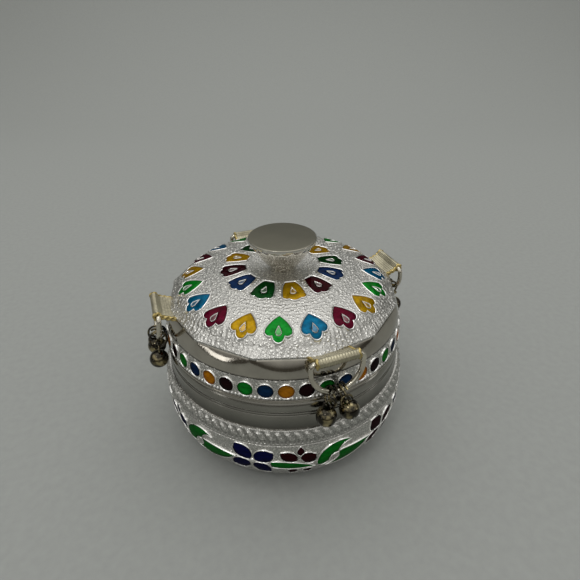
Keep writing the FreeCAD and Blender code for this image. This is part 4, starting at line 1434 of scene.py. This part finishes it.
class Hangers(bpy.types.Operator):
    """Weave the straps, bend the wire rings and split rings, and finish the bells"""

    bl_idname = "enamel_box.hangers"
    bl_label = "Hangers"

    def execute(self, context):
        ring = tube(ring_path(), RING_WIRE / 2, RING_COLUMNS, True, (1.0, 0, 0))
        split = tube(split_path(), SPLIT_WIRE / 2, SPLIT_COLUMNS, False, (0, 1.0, 0))
        for name, azimuth in HANGERS.items():
            self.strap(name, azimuth)
            wire = surface(name + "_wire", hung(ring, azimuth), wrap_rows=True)
            dress(wire, name + "_ring", "ring_wire", finish("ring_wire"), name + "_ring")
            for letter, side in (("a", -1), ("b", 1)):
                node = f"{name}_split_ring_{letter}"
                coil = surface(f"{name}_coil_{letter}", hung(strung(split, SPLIT_DROP, side), azimuth))
                dress(coil, node, "antique_brass", finish("antique_brass"), node)
                for inner in ("bell", "pellet"):
                    finish_node(f"{name}_{inner}_{letter}", finish("antique_brass"))
        return {"FINISHED"}

    def strap(self, name, azimuth):
        """A woven band along the strap's line, ribbed by its threads, with a twisted cord at each side."""
        line = strap_line()
        tangent = np.gradient(line, axis=0)
        tangent /= np.linalg.norm(tangent, axis=1, keepdims=True)
        normal = stacked(-tangent[:, 1], tangent[:, 0])
        run = np.linalg.norm(line[1] - line[0]) * np.arange(len(line))[:, None]
        thread = setting("thread")
        across = np.linspace(-STRAP_HALF, STRAP_HALF, STRAP_COLUMNS)
        weave = WEAVE_HEIGHT * np.abs(np.cos(math.pi * across / thread))
        weave = weave * (1 + WEAVE_SWELL * np.cos(FULL_TURN * run / thread))
        faces = []
        for columns, offset in ((across, STRAP_SHEET + weave), (across[::-1], 0 * weave - STRAP_SHEET)):
            flat = line[:, None] + normal[:, None] * offset[..., None]
            faces.append(stacked(flat[..., 0], columns, flat[..., 1]))
        band = surface(name + "_strap", on_bar(np.concatenate(faces, axis=1), azimuth))
        dress(band, "lid", "gilt_clip", finish("silver_thread"), name + "_clip")
        twist = 2 * once_round(CORD_COLUMNS) - FULL_TURN * run / CORD_PITCH
        thick = CORD_RADIUS * (1 + CORD_SWELL * np.cos(twist))
        cords = []
        for end in (-STRAP_HALF, STRAP_HALF):
            path = stacked(line[:, 0], end, line[:, 1])
            cords.append(on_bar(tube(path, thick, CORD_COLUMNS, False, (0, 1.0, 0)), azimuth))
        cord = surface(name + "_strap_edges", np.array(cords))
        dress(cord, "lid", "gilt_clip", finish("gilt_thread"))


class BoxStage(bpy.types.Operator):
    """Lay the floor, hang the lamps and set the camera"""

    bl_idname = "enamel_box.stage"
    bl_label = "Stage"

    def execute(self, context):
        look = context.scene.enamel_box_stage
        context.scene.view_settings.view_transform = "Standard"
        self.floor(tuple(look.floor))
        self.sky(context, tuple(look.sky), tuple(look.horizon))
        self.lamp("softbox", SOFTBOX_PLACE, SOFTBOX_SIZE, look.key)
        self.lamp("spark", SPARK_PLACE, SPARK_SIZE, look.spark)
        for place in WINDOW_PLACES:
            self.lamp("window", place, WINDOW_SIZE, look.window)
        self.camera(context)
        return {"FINISHED"}

    def floor(self, shade):
        """A plain sheet at the height that the box stands on, swept up behind it as a quarter circle."""
        sweep = quarter_bow(SWEEP_START, SWEEP_RADIUS, 0, SWEEP_RADIUS)
        run = np.concatenate([[(-FLOOR_REACH, 0), (0, 0)], sweep, [(sweep[-1, 0], FLOOR_REACH)]])
        across = np.linspace(-FLOOR_REACH, FLOOR_REACH, 3)
        sheet = stacked(run[:, :1], -across, run[:, 1:] + CAD_BOX[0][2] / MM)
        away = np.subtract(CAMERA_AIM, CAMERA_PLACE)
        heading = math.degrees(math.atan2(away[1], away[0]))
        floor = surface("floor", rotated(sheet, "Z", heading), wrap_columns=False)
        material, tree, shader = new_finish("pale_floor", 0.0)
        felt = noise(tree, object_point(tree), 2.5, 6.0)
        shades = ramp(tree, felt, (0.3, dimmed(shade, 0.93)), (0.7, shade))
        tree.links.new(shades, shader.inputs["Base Color"])
        shader.inputs["Roughness"].default_value = 0.9
        shader.inputs["Specular IOR Level"].default_value = 0.1
        floor.data.materials.append(material)

    def sky(self, context, above, beside):
        """A plain room: dim at the level of the box and brighter overhead."""
        world = bpy.data.worlds.new("studio")
        world.use_nodes = True
        tree = world.node_tree
        way = add(tree, "ShaderNodeTexCoord").outputs["Generated"]
        up = add(tree, "ShaderNodeSeparateXYZ", {"Vector": way}).outputs["Z"]
        shades = ramp(tree, up, (0.1, beside), (0.5, above))
        tree.links.new(shades, tree.nodes["Background"].inputs["Color"])
        context.scene.world = world

    def lamp(self, name, place, size, power):
        """A square lamp that shines at the origin."""
        light = bpy.data.lights.new(name, "AREA")
        light.size = size * MM
        light.energy = power
        lamp = bpy.data.objects.new(name, light)
        lamp.location = Vector(place) * MM
        lamp.rotation_euler = (-lamp.location).to_track_quat("-Z", "Y").to_euler()
        bpy.context.scene.collection.objects.link(lamp)

    def camera(self, context):
        """The photograph's viewpoint: its place, the point in the middle of the picture, a slight roll."""
        lens = bpy.data.cameras.new("view")
        lens.sensor_width = CAMERA_SENSOR
        lens.lens = CAMERA_LENS
        lens.clip_start = MM
        view = bpy.data.objects.new("view", lens)
        place, aim = Vector(CAMERA_PLACE) * MM, Vector(CAMERA_AIM) * MM
        roll = Matrix.Rotation(math.radians(CAMERA_ROLL), 3, "Z")
        turn = (aim - place).to_track_quat("-Z", "Y").to_matrix() @ roll
        view.matrix_world = Matrix.Translation(place) @ turn.to_4x4()
        context.scene.collection.objects.link(view)
        context.scene.camera = view


STEPS = (BoxBody, VineBand, LidShell, DomeSheet, DomeMotifs, DotStrip, Knob, Hangers, BoxStage)


class EnamelBoxPanel(bpy.types.Panel):
    """Lists the steps that dress the box and the settings that they use"""

    bl_idname = "VIEW3D_PT_enamel_box"
    bl_label = "Enamel Box"
    bl_space_type = "VIEW_3D"
    bl_region_type = "UI"
    bl_category = "Enamel Box"

    def draw(self, context):
        for step in STEPS:
            self.layout.operator(step.bl_idname)
        scene = context.scene
        for group in (scene.enamel_box_sizes, scene.enamel_box_colours, scene.enamel_box_stage):
            box = self.layout.box()
            for name in group.__annotations__:
                box.prop(group, name)


CLASSES = (EnamelBoxSizes, EnamelBoxColours, EnamelBoxStage, *STEPS, EnamelBoxPanel)


def register():
    """Registers the classes and gives the scene its settings."""
    for item in CLASSES:
        bpy.utils.register_class(item)
    bpy.types.Scene.enamel_box_sizes = PointerProperty(type=EnamelBoxSizes)
    bpy.types.Scene.enamel_box_colours = PointerProperty(type=EnamelBoxColours)
    bpy.types.Scene.enamel_box_stage = PointerProperty(type=EnamelBoxStage)


def unregister():
    """Takes the settings and the classes away again."""
    del bpy.types.Scene.enamel_box_stage
    del bpy.types.Scene.enamel_box_colours
    del bpy.types.Scene.enamel_box_sizes
    for item in reversed(CLASSES):
        bpy.utils.unregister_class(item)


def main():
    """Dresses the box step by step."""
    register()
    for step in STEPS:
        group, name = step.bl_idname.split(".")
        getattr(getattr(bpy.ops, group), name)()


if __name__ == "__main__":
    main()
